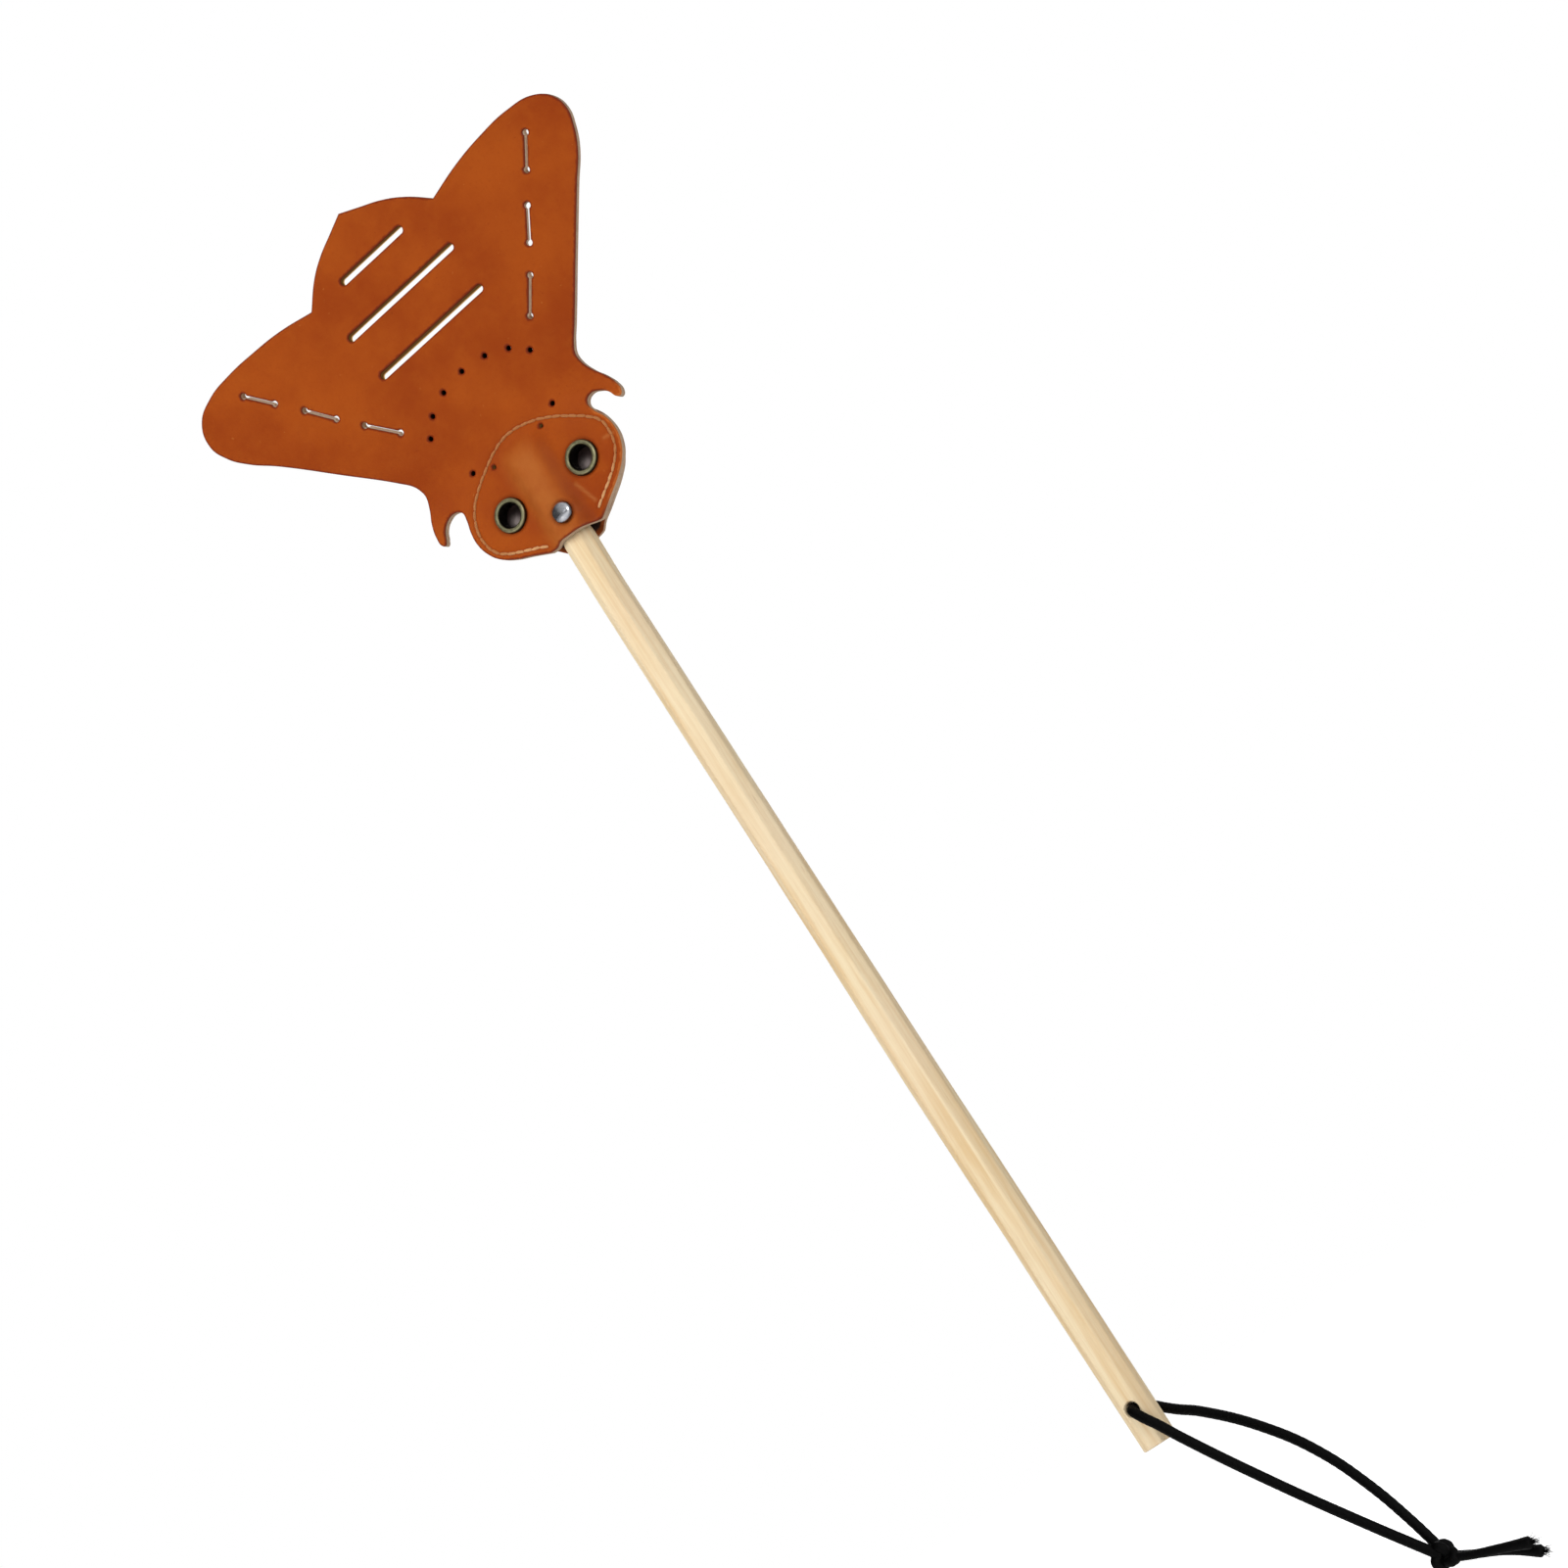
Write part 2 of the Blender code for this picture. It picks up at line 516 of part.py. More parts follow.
def swept_tube(name, points, radius, roundness, end_scale=1.0):
    """Closed round tube along a smooth curve through the points."""
    curve = bpy.data.curves.new(name, "CURVE")
    curve.dimensions = "3D"
    curve.bevel_depth = radius
    curve.bevel_resolution = roundness
    curve.resolution_u = 3
    curve.use_fill_caps = True
    spline = curve.splines.new("BEZIER")
    spline.bezier_points.add(len(points) - 1)
    for knot, place in zip(spline.bezier_points, points):
        knot.co = place
        knot.handle_left_type = "AUTO"
        knot.handle_right_type = "AUTO"
    spline.bezier_points[-1].radius = end_scale
    drawing = add_object(name, curve)
    mesh = bpy.data.meshes.new_from_object(drawing.evaluated_get(bpy.context.evaluated_depsgraph_get()))
    bpy.data.objects.remove(drawing)
    shape = bmesh.new()
    shape.from_mesh(mesh)
    bpy.data.meshes.remove(mesh)
    bmesh.ops.remove_doubles(shape, verts=shape.verts, dist=0.001 * MM)
    bmesh.ops.recalc_face_normals(shape, faces=shape.faces)
    return finish_mesh(name, shape)


def cord_tube(name, points, end_scale=1.0):
    """Tube from cord coordinates: towards the knot is -Z of the pivot, sideways is +X."""
    places = [Vector((side, y, -distance)) * MM for distance, side, y in points]
    return swept_tube(name, places, CORD_RADIUS, 2, end_scale)


def make_wrist_cord(pivot):
    """Elastic cord doubled through the stick's hole, knotted, with two free tails."""
    loop = REAR_STRAND[:0:-1] + FRONT_STRAND
    cord = cord_tube("wrist_cord", loop)
    for tail in TAILS:
        apply_boolean(cord, cord_tube("tail", tail, TAIL_FLARE), "UNION")
    shape = bmesh.new()
    bmesh.ops.create_uvsphere(shape, u_segments=16, v_segments=10, radius=1.0)
    bmesh.ops.scale(shape, verts=shape.verts, vec=KNOT_RADII)
    apply_boolean(cord, finish_mesh("knot", shape, location=(0, 0, -KNOT_DISTANCE)), "UNION")
    cord.parent = pivot
    paint(cord, CORD_COLOUR, 0.8)
    smooth_round(cord)


def build():
    clear_scene()
    blade_pivot = add_pivot("blade_flex_pivot", (0, SHEET_MIDDLE, MOUTH_Z + NECK), (BLADE_LEAN, 0, 0))
    cord_pivot = add_pivot("cord_pivot", (0, 0, CORD_HOLE_Z), (0, -CORD_ANGLE, 0))
    make_wooden_handle()
    make_leather_blade(blade_pivot)
    make_leather_head_front()
    make_leather_head_back()
    make_thread("needle_thread", FRONT_FACE - GAP - THREAD_RADIUS)
    make_thread("bobbin_thread", PATCH_FACE + GAP + THREAD_RADIUS)
    make_eyelets()
    make_rivet()
    make_wrist_cord(cord_pivot)


build()
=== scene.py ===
"""Looks of the leather fly swatter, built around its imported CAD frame.

Everything is in metres in the row frame: +Z up along the stick, +X to the right, -Y out of the
blade's front. Sizes below are in millimetres and are turned into metres by MM. Heights of the
leather are measured from the pocket's mouth, along the leather.
"""
import json
import math

import bmesh
import bpy
import numpy as np
from mathutils import Matrix, Vector, kdtree, noise
from mathutils.geometry import delaunay_2d_cdt


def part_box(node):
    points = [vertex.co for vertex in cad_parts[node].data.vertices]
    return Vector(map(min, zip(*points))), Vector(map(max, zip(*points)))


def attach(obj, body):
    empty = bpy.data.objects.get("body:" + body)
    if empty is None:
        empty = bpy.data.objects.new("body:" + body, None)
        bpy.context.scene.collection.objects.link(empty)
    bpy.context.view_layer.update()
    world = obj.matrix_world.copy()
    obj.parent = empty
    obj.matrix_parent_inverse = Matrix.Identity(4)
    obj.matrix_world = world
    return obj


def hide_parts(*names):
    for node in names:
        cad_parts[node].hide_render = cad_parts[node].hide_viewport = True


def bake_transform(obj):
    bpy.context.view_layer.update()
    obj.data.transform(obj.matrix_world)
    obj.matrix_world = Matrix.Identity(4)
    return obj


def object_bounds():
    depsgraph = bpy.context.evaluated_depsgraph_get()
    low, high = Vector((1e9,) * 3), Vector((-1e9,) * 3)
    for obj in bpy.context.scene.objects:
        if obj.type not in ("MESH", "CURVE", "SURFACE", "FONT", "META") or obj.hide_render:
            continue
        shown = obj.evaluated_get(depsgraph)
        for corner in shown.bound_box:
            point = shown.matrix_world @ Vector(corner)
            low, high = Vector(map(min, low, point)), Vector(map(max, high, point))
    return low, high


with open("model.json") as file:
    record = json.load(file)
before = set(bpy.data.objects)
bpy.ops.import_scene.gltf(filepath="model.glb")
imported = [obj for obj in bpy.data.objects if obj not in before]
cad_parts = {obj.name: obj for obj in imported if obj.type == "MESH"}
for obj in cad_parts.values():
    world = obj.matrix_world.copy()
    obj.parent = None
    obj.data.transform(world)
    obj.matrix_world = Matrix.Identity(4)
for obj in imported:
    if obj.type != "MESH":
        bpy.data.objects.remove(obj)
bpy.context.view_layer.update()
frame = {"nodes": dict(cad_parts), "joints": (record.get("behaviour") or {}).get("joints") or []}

MM = 0.001

# ---------------------------------------------------------------- places read from the frame
JOINTS = {joint["name"]: joint for joint in frame["joints"]}
FLEX = Vector(JOINTS["blade_flex"]["pos_m"])
CORD_HOLE = Vector(JOINTS["cord_swing"]["pos_m"])
STICK_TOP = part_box("wooden_handle")[1].z / MM

# ---------------------------------------------------------------- leather sizes, in mm
NECK = 44.0                     # flex line, above the pocket's mouth
BEND_REACH = 7.0                # the resting lean is spread over this much on each side of it
BLADE_LEAN = math.radians(14.0)
SHEET = 3.0
PATCH = 2.0
LEATHER_GAP = 0.3
TUNNEL_X = 1.4
TUNNEL_HALF = 6.9               # the leather is draped over the stick in a soft arch this wide
TUNNEL_END = 28.5
TUNNEL_FADE = 41.0
TUNNEL_SLACK = 0.55             # it stands this much off the stick along the crest
POCKET_DEPTH = 1.5
POCKET_CENTRE = 19.5
POCKET_RADII = (19.8, 10.8)
POCKET_FADE = 1.28
MOUTH_Z = FLEX.z / MM - NECK
INSERTED = STICK_TOP - MOUTH_Z
STICK_DEPTH = 9.0
SHOULDER = 5.0                  # inside the pocket the stick is whittled quickly to here
SHOULDER_DEPTH = 6.6
TIP_DEPTH = 4.6
TIP_WIDTH = 0.86
FRONT_MIDDLE = FLEX.y / MM
PATCH_MIDDLE = FRONT_MIDDLE + SHEET / 2 + LEATHER_GAP + PATCH / 2
FRONT_FACE = FRONT_MIDDLE - SHEET / 2

# Outlines, outwards from the middle line and up from the mouth. The two sides were cut by hand and
# differ a little. Each stretch is one smooth curve.
ABDOMEN = [(0, 128.5), (6.8, 125.6), (13.7, 122.6), (20, 118.7), (27.6, 111.8)]
WING_RIGHT = [(27.6, 111.8), (40, 114.6), (52, 116), (64, 116), (73.5, 113.8), (78.2, 109.4), (79.4, 104),
              (77.6, 98.4), (74.3, 92.7), (67, 84.8), (52.2, 68.6), (38.8, 53.7), (35, 49.6), (33.2, 46.8)]
WING_LEFT = [(27.6, 111.8), (40, 114.2), (52, 115.2), (64, 115.4), (74, 114), (81.6, 109.9), (84.4, 102.6),
             (82.2, 95.9), (77.5, 90), (69.2, 82.6), (53.8, 67), (40, 52.8), (36.8, 48.9), (35.8, 46.4)]
HOOK_RIGHT = [(33, 44), (34.5, 39.3), (37.2, 34.6), (38.8, 30.6), (39, 27.8), (38, 26.4), (36.7, 26.8),
              (35.2, 29.8), (32.8, 32.2), (29.8, 33.3), (27.4, 31.9), (27.7, 28.7), (29.7, 24.6), (30.6, 20),
              (29.7, 15), (27.1, 10.7), (22.6, 6.9), (16.8, 3.4), (10.7, -0.3)]
HOOK_LEFT = [(35.5, 44), (36.8, 40), (39.2, 35), (40.2, 30.6), (40, 27.8), (38.9, 26.9), (37.7, 28.2),
             (36.3, 30.8), (33.4, 32.9), (30.3, 33.2), (28, 31.5), (28.1, 28.7), (29.2, 24.3), (29.4, 19.9),
             (28.1, 15.3), (25.7, 11.6), (21.5, 8.3), (15.9, 5.4), (9.7, 2)]
MOUTH_RIGHT = [(10.7, -0.3), (0, 0.6)]
MOUTH_LEFT = [(9.7, 2), (0, 0.6)]
PATCH_RIGHT = [(0, 43.4), (8.5, 42.4), (15, 39.4), (21, 35.6), (26.2, 31), (29.2, 25), (29.5, 20),
               (28.2, 15.5), (26.1, 11.2), (22, 7.3), (16.6, 3.8), (11, 0.6), (6.5, -1)]
PATCH_LEFT = [(0, 43.4), (8.5, 42.4), (15, 39.4), (21, 35.4), (25.6, 31), (28.3, 25), (28.7, 20),
              (27.5, 15.4), (25.2, 11.9), (21.2, 8.9), (15.7, 6), (10, 3), (6.5, -0.6)]
PATCH_END_RIGHT = [(6.5, -1), (0, -1.2)]
PATCH_END_LEFT = [(6.5, -0.6), (0, -1.2)]
SEAM_RIGHT = [(0, 41.3), (8.2, 39.4), (14.4, 36.3), (20.4, 32), (25.2, 27.9), (28, 24.2), (28.5, 19.8),
              (27.2, 14.8), (24.6, 11.4), (20.2, 8.1), (15.2, 5.1), (11.7, 3.1)]
SEAM_LEFT = [(0, 41.3), (6.6, 40.2), (13, 37.2), (19.2, 33.5), (24, 29.2), (26.5, 24.3), (27.1, 20),
             (25.6, 14.4), (22, 10.9), (16.4, 7.9), (12, 5.7), (9.4, 4.2)]
SLOTS = [(13.7, 111.8), (23.4, 97.1), (22.7, 81.5)]
SLOT_HALF_HEIGHT = 1.25
WING_SLITS = [((64.9, 107.9), (56.5, 97.7)), ((51.0, 91.2), (42.8, 80.7)), ((37.8, 74.7), (28.3, 63.8))]
SLIT_HALF_WIDTH = 0.5
PUNCH_RADIUS = 1.05
DOT_RADIUS = 0.85
INNER_DOT_RADIUS = 0.68         # the lower pair at the neck has closed up more
COLLAR_CENTRE = 51.0
COLLAR_RADII = (24.0, 15.0)
COLLAR_STEP = math.radians(22.5)
NECK_DOTS = [(17.6, 39.2), (10.4, 36.0)]
SLOT_LEAN = (0.42, 0.56, 0.72)  # the slots' backs sit this much lower than their fronts
SLIT_LEAN = (0.55, -0.35, 0.75, 0.6, 0.6, 0.6)  # and the slits' backs this much further right
DOT_CLOSING = 0.8               # share of a dot's width that has closed again at the back
# Lines where a painted highlight marks a crease catching the light.
LIT_CREASE_LINES = [((9.9, 13.6), (12.4, 5.4)), ((25.7, 19.2), (29.2, 18.5))]

# How much painted shade the wall inside each kind of cut gets, from 0 on the outline to 1 in a closed dot,
# which is painted near black. The slits' walls get painted light instead.
SLIT_LOOK = 0.5
INNER_DOT_LOOK = 0.65
SLOT_LOOK = 0.8
PATCH_HOLE_LOOK = 0.9
METAL_HOLE_LOOK = 0.95
DOT_LOOK = 1.0

# ---------------------------------------------------------------- hardware sizes, in mm
EYES = {"left": (-14.3, 20.0), "right": (16.1, 19.1)}
EYELET_HOLE = 3.8
EYELET_RIM = 5.6
EYELET_BARREL = 4.2
EYELET_CLEARANCE = 4.5
EYE_LIGHT = (-1.8, -0.8)        # where light through an eye falls on the patch, from the eye's centre
RIVET = (2.6, 8.0)
RIVET_CAP = 3.5
RIVET_SEATS = (-6.2, 5.45)      # planes that the rivet pulls the front leather and the patch to
RIVET_TUBE = 1.5
RIVET_SHANK = 0.9
RIVET_CLEARANCE = 1.8
CORD_BORE = 2.1

# ---------------------------------------------------------------- mesh fineness, in mm
EDGE_STEP = 0.5
RING_DEPTHS = (0.22, 0.5, 0.9, 1.5)
HEAD_SPACING = 0.75
BLADE_SPACING = 1.15
SEAM_SPACING = 0.4
CURVE_STEPS = 24                # samples between two knots of a smooth curve


# ================================================================ small tools
def smoothstep(low, high, value):
    t = np.clip((value - low) / (high - low), 0.0, 1.0)
    return t * t * (3 - 2 * t)


def mirrored(points):
    return [(-x, z) for x, z in points]


def above_mouth(place):
    """Row-frame (x, z) of a place measured from the pocket's mouth."""
    return place[0], MOUTH_Z + place[1]


def polar(centre, radius, angles):
    """Points at the given angles around a centre."""
    return np.column_stack([centre[0] + radius * np.cos(angles), centre[1] + radius * np.sin(angles)])


def around_circle(count):
    return np.arange(count) * 2 * math.pi / count


def ring_distance(points, centre):
    return np.hypot(points[:, 0] - centre[0], points[:, 1] - centre[1])


def segment_reach(points, start, end):
    """Distance of each point from the straight line between two points."""
    start, end = np.asarray(start, float), np.asarray(end, float)
    along = end - start
    share = ((points - start) * along).sum(-1) / np.maximum((along * along).sum(-1), 1e-12)
    return np.linalg.norm(points - start - along * np.clip(share, 0, 1)[:, None], axis=1)


def sideways(along):
    """Unit vectors square to the given flat directions."""
    normal = np.column_stack([-along[:, 1], along[:, 0]])
    return normal / np.linalg.norm(normal, axis=1)[:, None]


def flat_tree(points):
    """Search tree over flat points."""
    tree = kdtree.KDTree(len(points))
    for index, (x, z) in enumerate(points):
        tree.insert((x, z, 0), index)
    tree.balance()
    return tree


def mesh_object(name, vertices, faces, smooth=True):
    """New object from vertices in millimetres."""
    mesh = bpy.data.meshes.new(name)
    faces = [list(map(int, face)) for face in faces]
    mesh.from_pydata((np.asarray(vertices, float) * MM).tolist(), [], faces)
    mesh.validate()
    made = bpy.data.objects.new(name, mesh)
    bpy.context.collection.objects.link(made)
    if smooth:
        mesh.shade_smooth()
    return made


def add_attribute(made, name, values, kind="FLOAT"):
    layer = made.data.attributes.new(name, kind, "POINT")
    key = "value" if kind == "FLOAT" else "vector"
    layer.data.foreach_set(key, np.asarray(values, np.float32).ravel())


def normals_outward(made):
    shape = bmesh.new()
    shape.from_mesh(made.data)
    bmesh.ops.recalc_face_normals(shape, faces=shape.faces)
    shape.to_mesh(made.data)
    shape.free()


def mark_sharp_edges(made, limit_degrees):
    """Keep the shading crisp where faces meet at more than the limit."""
    made.data.set_sharp_from_angle(angle=math.radians(limit_degrees))


def dress(made, materials, nodes, body=None):
    """Give a piece its materials and slot, the CAD nodes it stands for and the body it moves with."""
    for material in materials:
        made.data.materials.append(material)
    if body:
        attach(made, body)
    if nodes:
        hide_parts(*nodes)


# ================================================================ flat outlines
def bezier_samples(points, corners=(), cyclic=False, steps=CURVE_STEPS):
    """Samples along a smooth curve through 3-D points, with a corner at each listed point."""
    curve = bpy.data.curves.new("path", "CURVE")
    curve.dimensions = "3D"
    curve.resolution_u = steps
    spline = curve.splines.new("BEZIER")
    spline.bezier_points.add(len(points) - 1)
    spline.use_cyclic_u = cyclic
    for index, (knot, place) in enumerate(zip(spline.bezier_points, points)):
        knot.co = place
        knot.handle_left_type = knot.handle_right_type = "VECTOR" if index in corners else "AUTO"
    drawing = bpy.data.objects.new("path", curve)
    bpy.context.collection.objects.link(drawing)
    mesh = drawing.evaluated_get(bpy.context.evaluated_depsgraph_get()).to_mesh()
    samples = np.array([vertex.co for vertex in mesh.vertices])
    bpy.data.objects.remove(drawing)
    bpy.data.curves.remove(curve)
    return samples


def resampled(points, step):
    """The same path with points at even distances."""
    lengths = np.concatenate([[0], np.cumsum(np.linalg.norm(np.diff(points, axis=0), axis=1))])
    count = max(int(math.ceil(lengths[-1] / step)), 1)
    places = np.linspace(0, lengths[-1], count + 1)
    return np.column_stack([np.interp(places, lengths, points[:, axis]) for axis in range(points.shape[1])])


def smooth_loop(stretches, step):
    """Closed loop of points that is smooth along each stretch, with a corner between stretches."""
    points, corners = [], []
    for stretch in stretches:
        corners.append(len(points))
        points += [(x, z, 0) for x, z in stretch[:-1]]
    samples = bezier_samples(points, corners, cyclic=True)
    samples = np.vstack([samples, samples[:1]])
    knots = [CURVE_STEPS * corner for corner in corners] + [len(samples) - 1]
    parts = [resampled(samples[first:last + 1], step)[:-1] for first, last in zip(knots, knots[1:])]
    return np.vstack(parts)[:, :2]


def circle_loop(centre, radius, step=0.33):
    return polar(centre, radius, around_circle(max(int(2 * math.pi * radius / step), 12)))


def punched_slit(start, end, end_radius, half_width, step=0.4):
    """Loop of a slit with a round punched hole at both ends."""
    start, end = np.array(start, float), np.array(end, float)
    along = (end - start) / np.linalg.norm(end - start)
    heading = math.atan2(along[1], along[0])
    sweep = 2 * math.pi - 2 * math.asin(min(half_width / end_radius, 1.0))
    arcs = []
    for tip, inward, facing in ((end, -along, heading), (start, along, heading + math.pi)):
        angles = facing - sweep / 2 + sweep * np.arange(13) / 12
        arcs.append(polar(tip + inward * end_radius, end_radius, angles))
    loop = np.vstack(arcs + [arcs[0][:1]])
    return np.vstack([resampled(np.array(pair), step)[:-1] for pair in zip(loop[:-1], loop[1:])])


def left_side(stretches):
    """The stretches of a left side, turned to follow on from the right side."""
    return [mirrored(stretch)[::-1] for stretch in stretches[::-1]]


# ================================================================ meshing a flat sheet
def loop_indices(loops):
    """Each loop's point numbers when the loops are stacked."""
    ends = np.cumsum([len(loop) for loop in loops])
    return np.split(np.arange(ends[-1]), ends[:-1])


def inside_loops(points, loops):
    """True for points in the material: an odd number of loops around them."""
    inside = np.zeros(len(points), bool)
    for loop in loops:
        following = np.roll(loop, -1, axis=0)
        low, high = loop.min(0) - 0.01, loop.max(0) + 0.01
        near = np.where(((points >= low) & (points <= high)).all(1))[0]
        rise = following[:, 1] - loop[:, 1]
        rise = np.where(rise == 0, 1e-12, rise)
        for block in np.array_split(near, max(len(near) // 4000, 1)):
            x, z = points[block, 0][:, None], points[block, 1][:, None]
            crosses = (loop[:, 1] > z) != (following[:, 1] > z)
            at = loop[:, 0] + (z - loop[:, 1]) * (following[:, 0] - loop[:, 0]) / rise
            inside[block] ^= (crosses & (x < at)).sum(1) % 2 == 1
    return inside


class Edges:
    """Distance from any point to the nearest cut edge."""

    def __init__(self, loops):
        self.points = np.vstack(loops)
        self.after = np.concatenate([np.roll(index, -1) for index in loop_indices(loops)])
        self.before = np.concatenate([np.roll(index, 1) for index in loop_indices(loops)])
        self.tree = flat_tree(self.points)

    def distance(self, points):
        nearest = np.array([self.tree.find((x, z, 0))[1] for x, z in points])
        here, after, before = self.points[[nearest, self.after[nearest], self.before[nearest]]]
        return np.minimum(segment_reach(points, here, after), segment_reach(points, before, here))


def clear_of_edges(points, loops, margin):
    """The points that lie in the material and away from its edges."""
    points = points[inside_loops(points, loops)]
    return points[Edges(loops).distance(points) > margin]


def offset_rings(loops, edges):
    """Points at a few depths inside the cut edges, where the leather rounds over."""
    rings = []
    for loop in loops:
        normal = sideways(np.roll(loop, -1, axis=0) - np.roll(loop, 1, axis=0))
        for depth in RING_DEPTHS:
            for side in (-1, 1):
                ring = loop + side * depth * normal
                ring = ring[inside_loops(ring, loops)]
                if len(ring):
                    rings.append(ring[edges.distance(ring) > 0.8 * depth])
    return np.vstack(rings)


def hex_grid(low, high, spacing):
    rows = np.arange(low[1], high[1], spacing * math.sqrt(3) / 2)
    points = []
    for index, z in enumerate(rows):
        xs = np.arange(low[0] + (index % 2) * spacing / 2, high[0], spacing)
        points.append(np.column_stack([xs, np.full(len(xs), z)]))
    return np.vstack(points)


def filling(loops, low, high, spacing, margin, avoid=None):
    """Even grid points inside the material, clear of its edges and of a path."""
    grid = clear_of_edges(hex_grid(low, high, spacing), loops, RING_DEPTHS[-1] + margin)
    return grid if avoid is None else grid[distance_to_path(grid, avoid) > 1.3]


def triangulated(loops, free_points):
    """Delaunay mesh of the material between the loops. Returns points, triangles and each loop's indices."""
    stacked = loop_indices(loops)
    links = [link for index in stacked for link in zip(index.tolist(), np.roll(index, -1).tolist())]
    everything = [Vector(point) for point in np.vstack(loops + [free_points])]
    points, _, faces, origins, _, _ = delaunay_2d_cdt(everything, links, [], 0, 1e-5, True)
    points = np.array([tuple(point) for point in points])
    faces = np.array([face for face in faces if len(face) == 3])
    faces = faces[inside_loops(points[faces].mean(1), loops)]
    place = {source: made for made, sources in enumerate(origins) for source in sources}
    return points, faces, [np.array([place[source] for source in index]) for index in stacked]


# ================================================================ the leather's shape
def stick_half_depth(height):
    """Half of the stick's depth at heights above the mouth: full outside the pocket, whittled inside it."""
    quick = np.clip(height / SHOULDER, 0, 1)
    slow = np.clip((height - SHOULDER) / (INSERTED - SHOULDER), 0, 1)
    return (STICK_DEPTH - (STICK_DEPTH - SHOULDER_DEPTH) * quick - (SHOULDER_DEPTH - TIP_DEPTH) * slow) / 2


def tunnel(x, height):
    """Share of the tunnel's full rise at each point of the head, from 0 to 1."""
    across = np.exp(-(np.abs(x - TUNNEL_X) / TUNNEL_HALF) ** 4)
    return across * (1 - smoothstep(TUNNEL_END, TUNNEL_FADE, height))


def pocket(x, height):
    reach = np.hypot(x / POCKET_RADII[0], (height - POCKET_CENTRE) / POCKET_RADII[1])
    return 1 - smoothstep(1.0, POCKET_FADE, reach)


def bent(x, y, height):
    """Row-frame millimetres of leather at (x, height) and depth y, with the resting lean at the neck."""
    start = NECK - BEND_REACH
    radius = BEND_REACH / math.tan(BLADE_LEAN / 2)
    angle = BLADE_LEAN * np.clip((height - start) / (2 * BEND_REACH), 0, 1)
    beyond = np.maximum(height - NECK - BEND_REACH, 0)
    off = y - FRONT_MIDDLE
    centre_y = -radius * (1 - np.cos(angle)) - beyond * np.sin(angle)
    centre_z = np.minimum(height, start) + radius * np.sin(angle) + beyond * np.cos(angle)
    return np.column_stack([x, FRONT_MIDDLE + centre_y + off * np.cos(angle),
                            MOUTH_Z + centre_z + off * np.sin(angle)])


def seam_path(step):
    points = [(x, z, 0) for x, z in mirrored(SEAM_LEFT)[:0:-1] + SEAM_RIGHT]
    return resampled(bezier_samples(points), step)[:, :2]


def seam_ribbon(path, loops):
    """Closer points along the stitched groove."""
    normal = sideways(np.gradient(path, axis=0))
    ribbon = np.vstack([path + normal * offset for offset in (-1.0, -0.6, -0.3, 0.0, 0.3, 0.6, 1.0)])
    return clear_of_edges(ribbon, loops, RING_DEPTHS[-1] + 0.2)


def distance_to_path(points, path):
    tree = flat_tree(path)
    return np.array([tree.find((x, z, 0))[2] for x, z in points])


def groove(seam_distance, depth):
    """How far the thread pulls the leather in beside the seam."""
    return depth * np.exp(-(seam_distance / 0.75) ** 2)


def riveted(points, depth, seat):
    """Depths with the leather drawn flat under a rivet head."""
    share = 1 - smoothstep(RIVET_CAP - 0.3, RIVET_CAP + 2.2, ring_distance(points, RIVET))
    return depth * (1 - share) + seat * share


def waviness(points):
    """Slow unevenness of the hanging blade, growing towards the wing tips, in mm."""
    offset = Vector((51.9, 15.3, 29.1))     # picks one stretch of the noise
    wave = [noise.fractal(Vector((x, z, 0)) / 46.0 + offset, 1.0, 2.0, 2) for x, z in points]
    free = smoothstep(NECK + 4, 90, points[:, 1])
    tips = smoothstep(30, 84, np.abs(points[:, 0]))
    return free * (0.35 + 0.9 * tips) * np.array(wave)


def rounded_edge(distance, radius, drop):
    """How far a face falls away near its cut edge."""
    inward = np.clip(distance / radius, 0, 1)
    return drop * (1 - np.sqrt(1 - (1 - inward) ** 2))


def thick_sheet(name, loops, looks, free_points, surfaces, wall_steps):
    """Closed leather sheet: front, back and cut walls, which are material slots 0, 2 and 1.

    looks is each loop's painted wall shade. surfaces gives both faces' depths. Returns the object and
    the flat place of each of its vertices.
    """
    edges = Edges(loops)
    points, faces, rims = triangulated(loops, np.vstack([offset_rings(loops, edges), free_points]))
    gap = edges.distance(points)
    gap[np.concatenate(rims)] = 0.0
    front, back = surfaces(points, gap)
    shift = undercut(points)
    count = len(points)
    painted_wall_shade = np.zeros(count)
    layers = [(np.arange(count), 0.0), (np.arange(count), 1.0)]
    walls = []
    total = 2 * count
    for look, rim in zip(looks, rims):
        painted_wall_shade[rim] = look
        rows = [rim]
        for step in range(1, wall_steps):
            layers.append((rim, step / wall_steps))
            rows.append(np.arange(total, total + len(rim)))
            total += len(rim)
        for upper, lower in zip(rows, rows[1:] + [count + rim]):
            walls += list(np.column_stack([upper, np.roll(upper, -1), np.roll(lower, -1), lower]))
    chosen = np.concatenate([which for which, _ in layers])
    through = np.concatenate([np.full(len(which), share) for which, share in layers])
    place = points[chosen] + through[:, None] * shift[chosen]
    depth = front[chosen] * (1 - through) + back[chosen] * through
    skin = list(faces) + list(count + faces[:, [0, 2, 1]]) + walls
    made = mesh_object(name, bent(place[:, 0], depth, place[:, 1]), skin)
    slots = [0] * len(faces) + [2] * len(faces) + [1] * len(walls)
    made.data.polygons.foreach_set("material_index", slots)
    flat = points[chosen]
    add_attribute(made, "through", through)
    add_attribute(made, "painted_wall_shade", painted_wall_shade[chosen])
    add_attribute(made, "edge_mm", gap[chosen])
    add_attribute(made, "flat", np.column_stack([flat, through * SHEET]) * MM, "FLOAT_VECTOR")
    normals_outward(made)
    mark_sharp_edges(made, 40)
    return made, flat


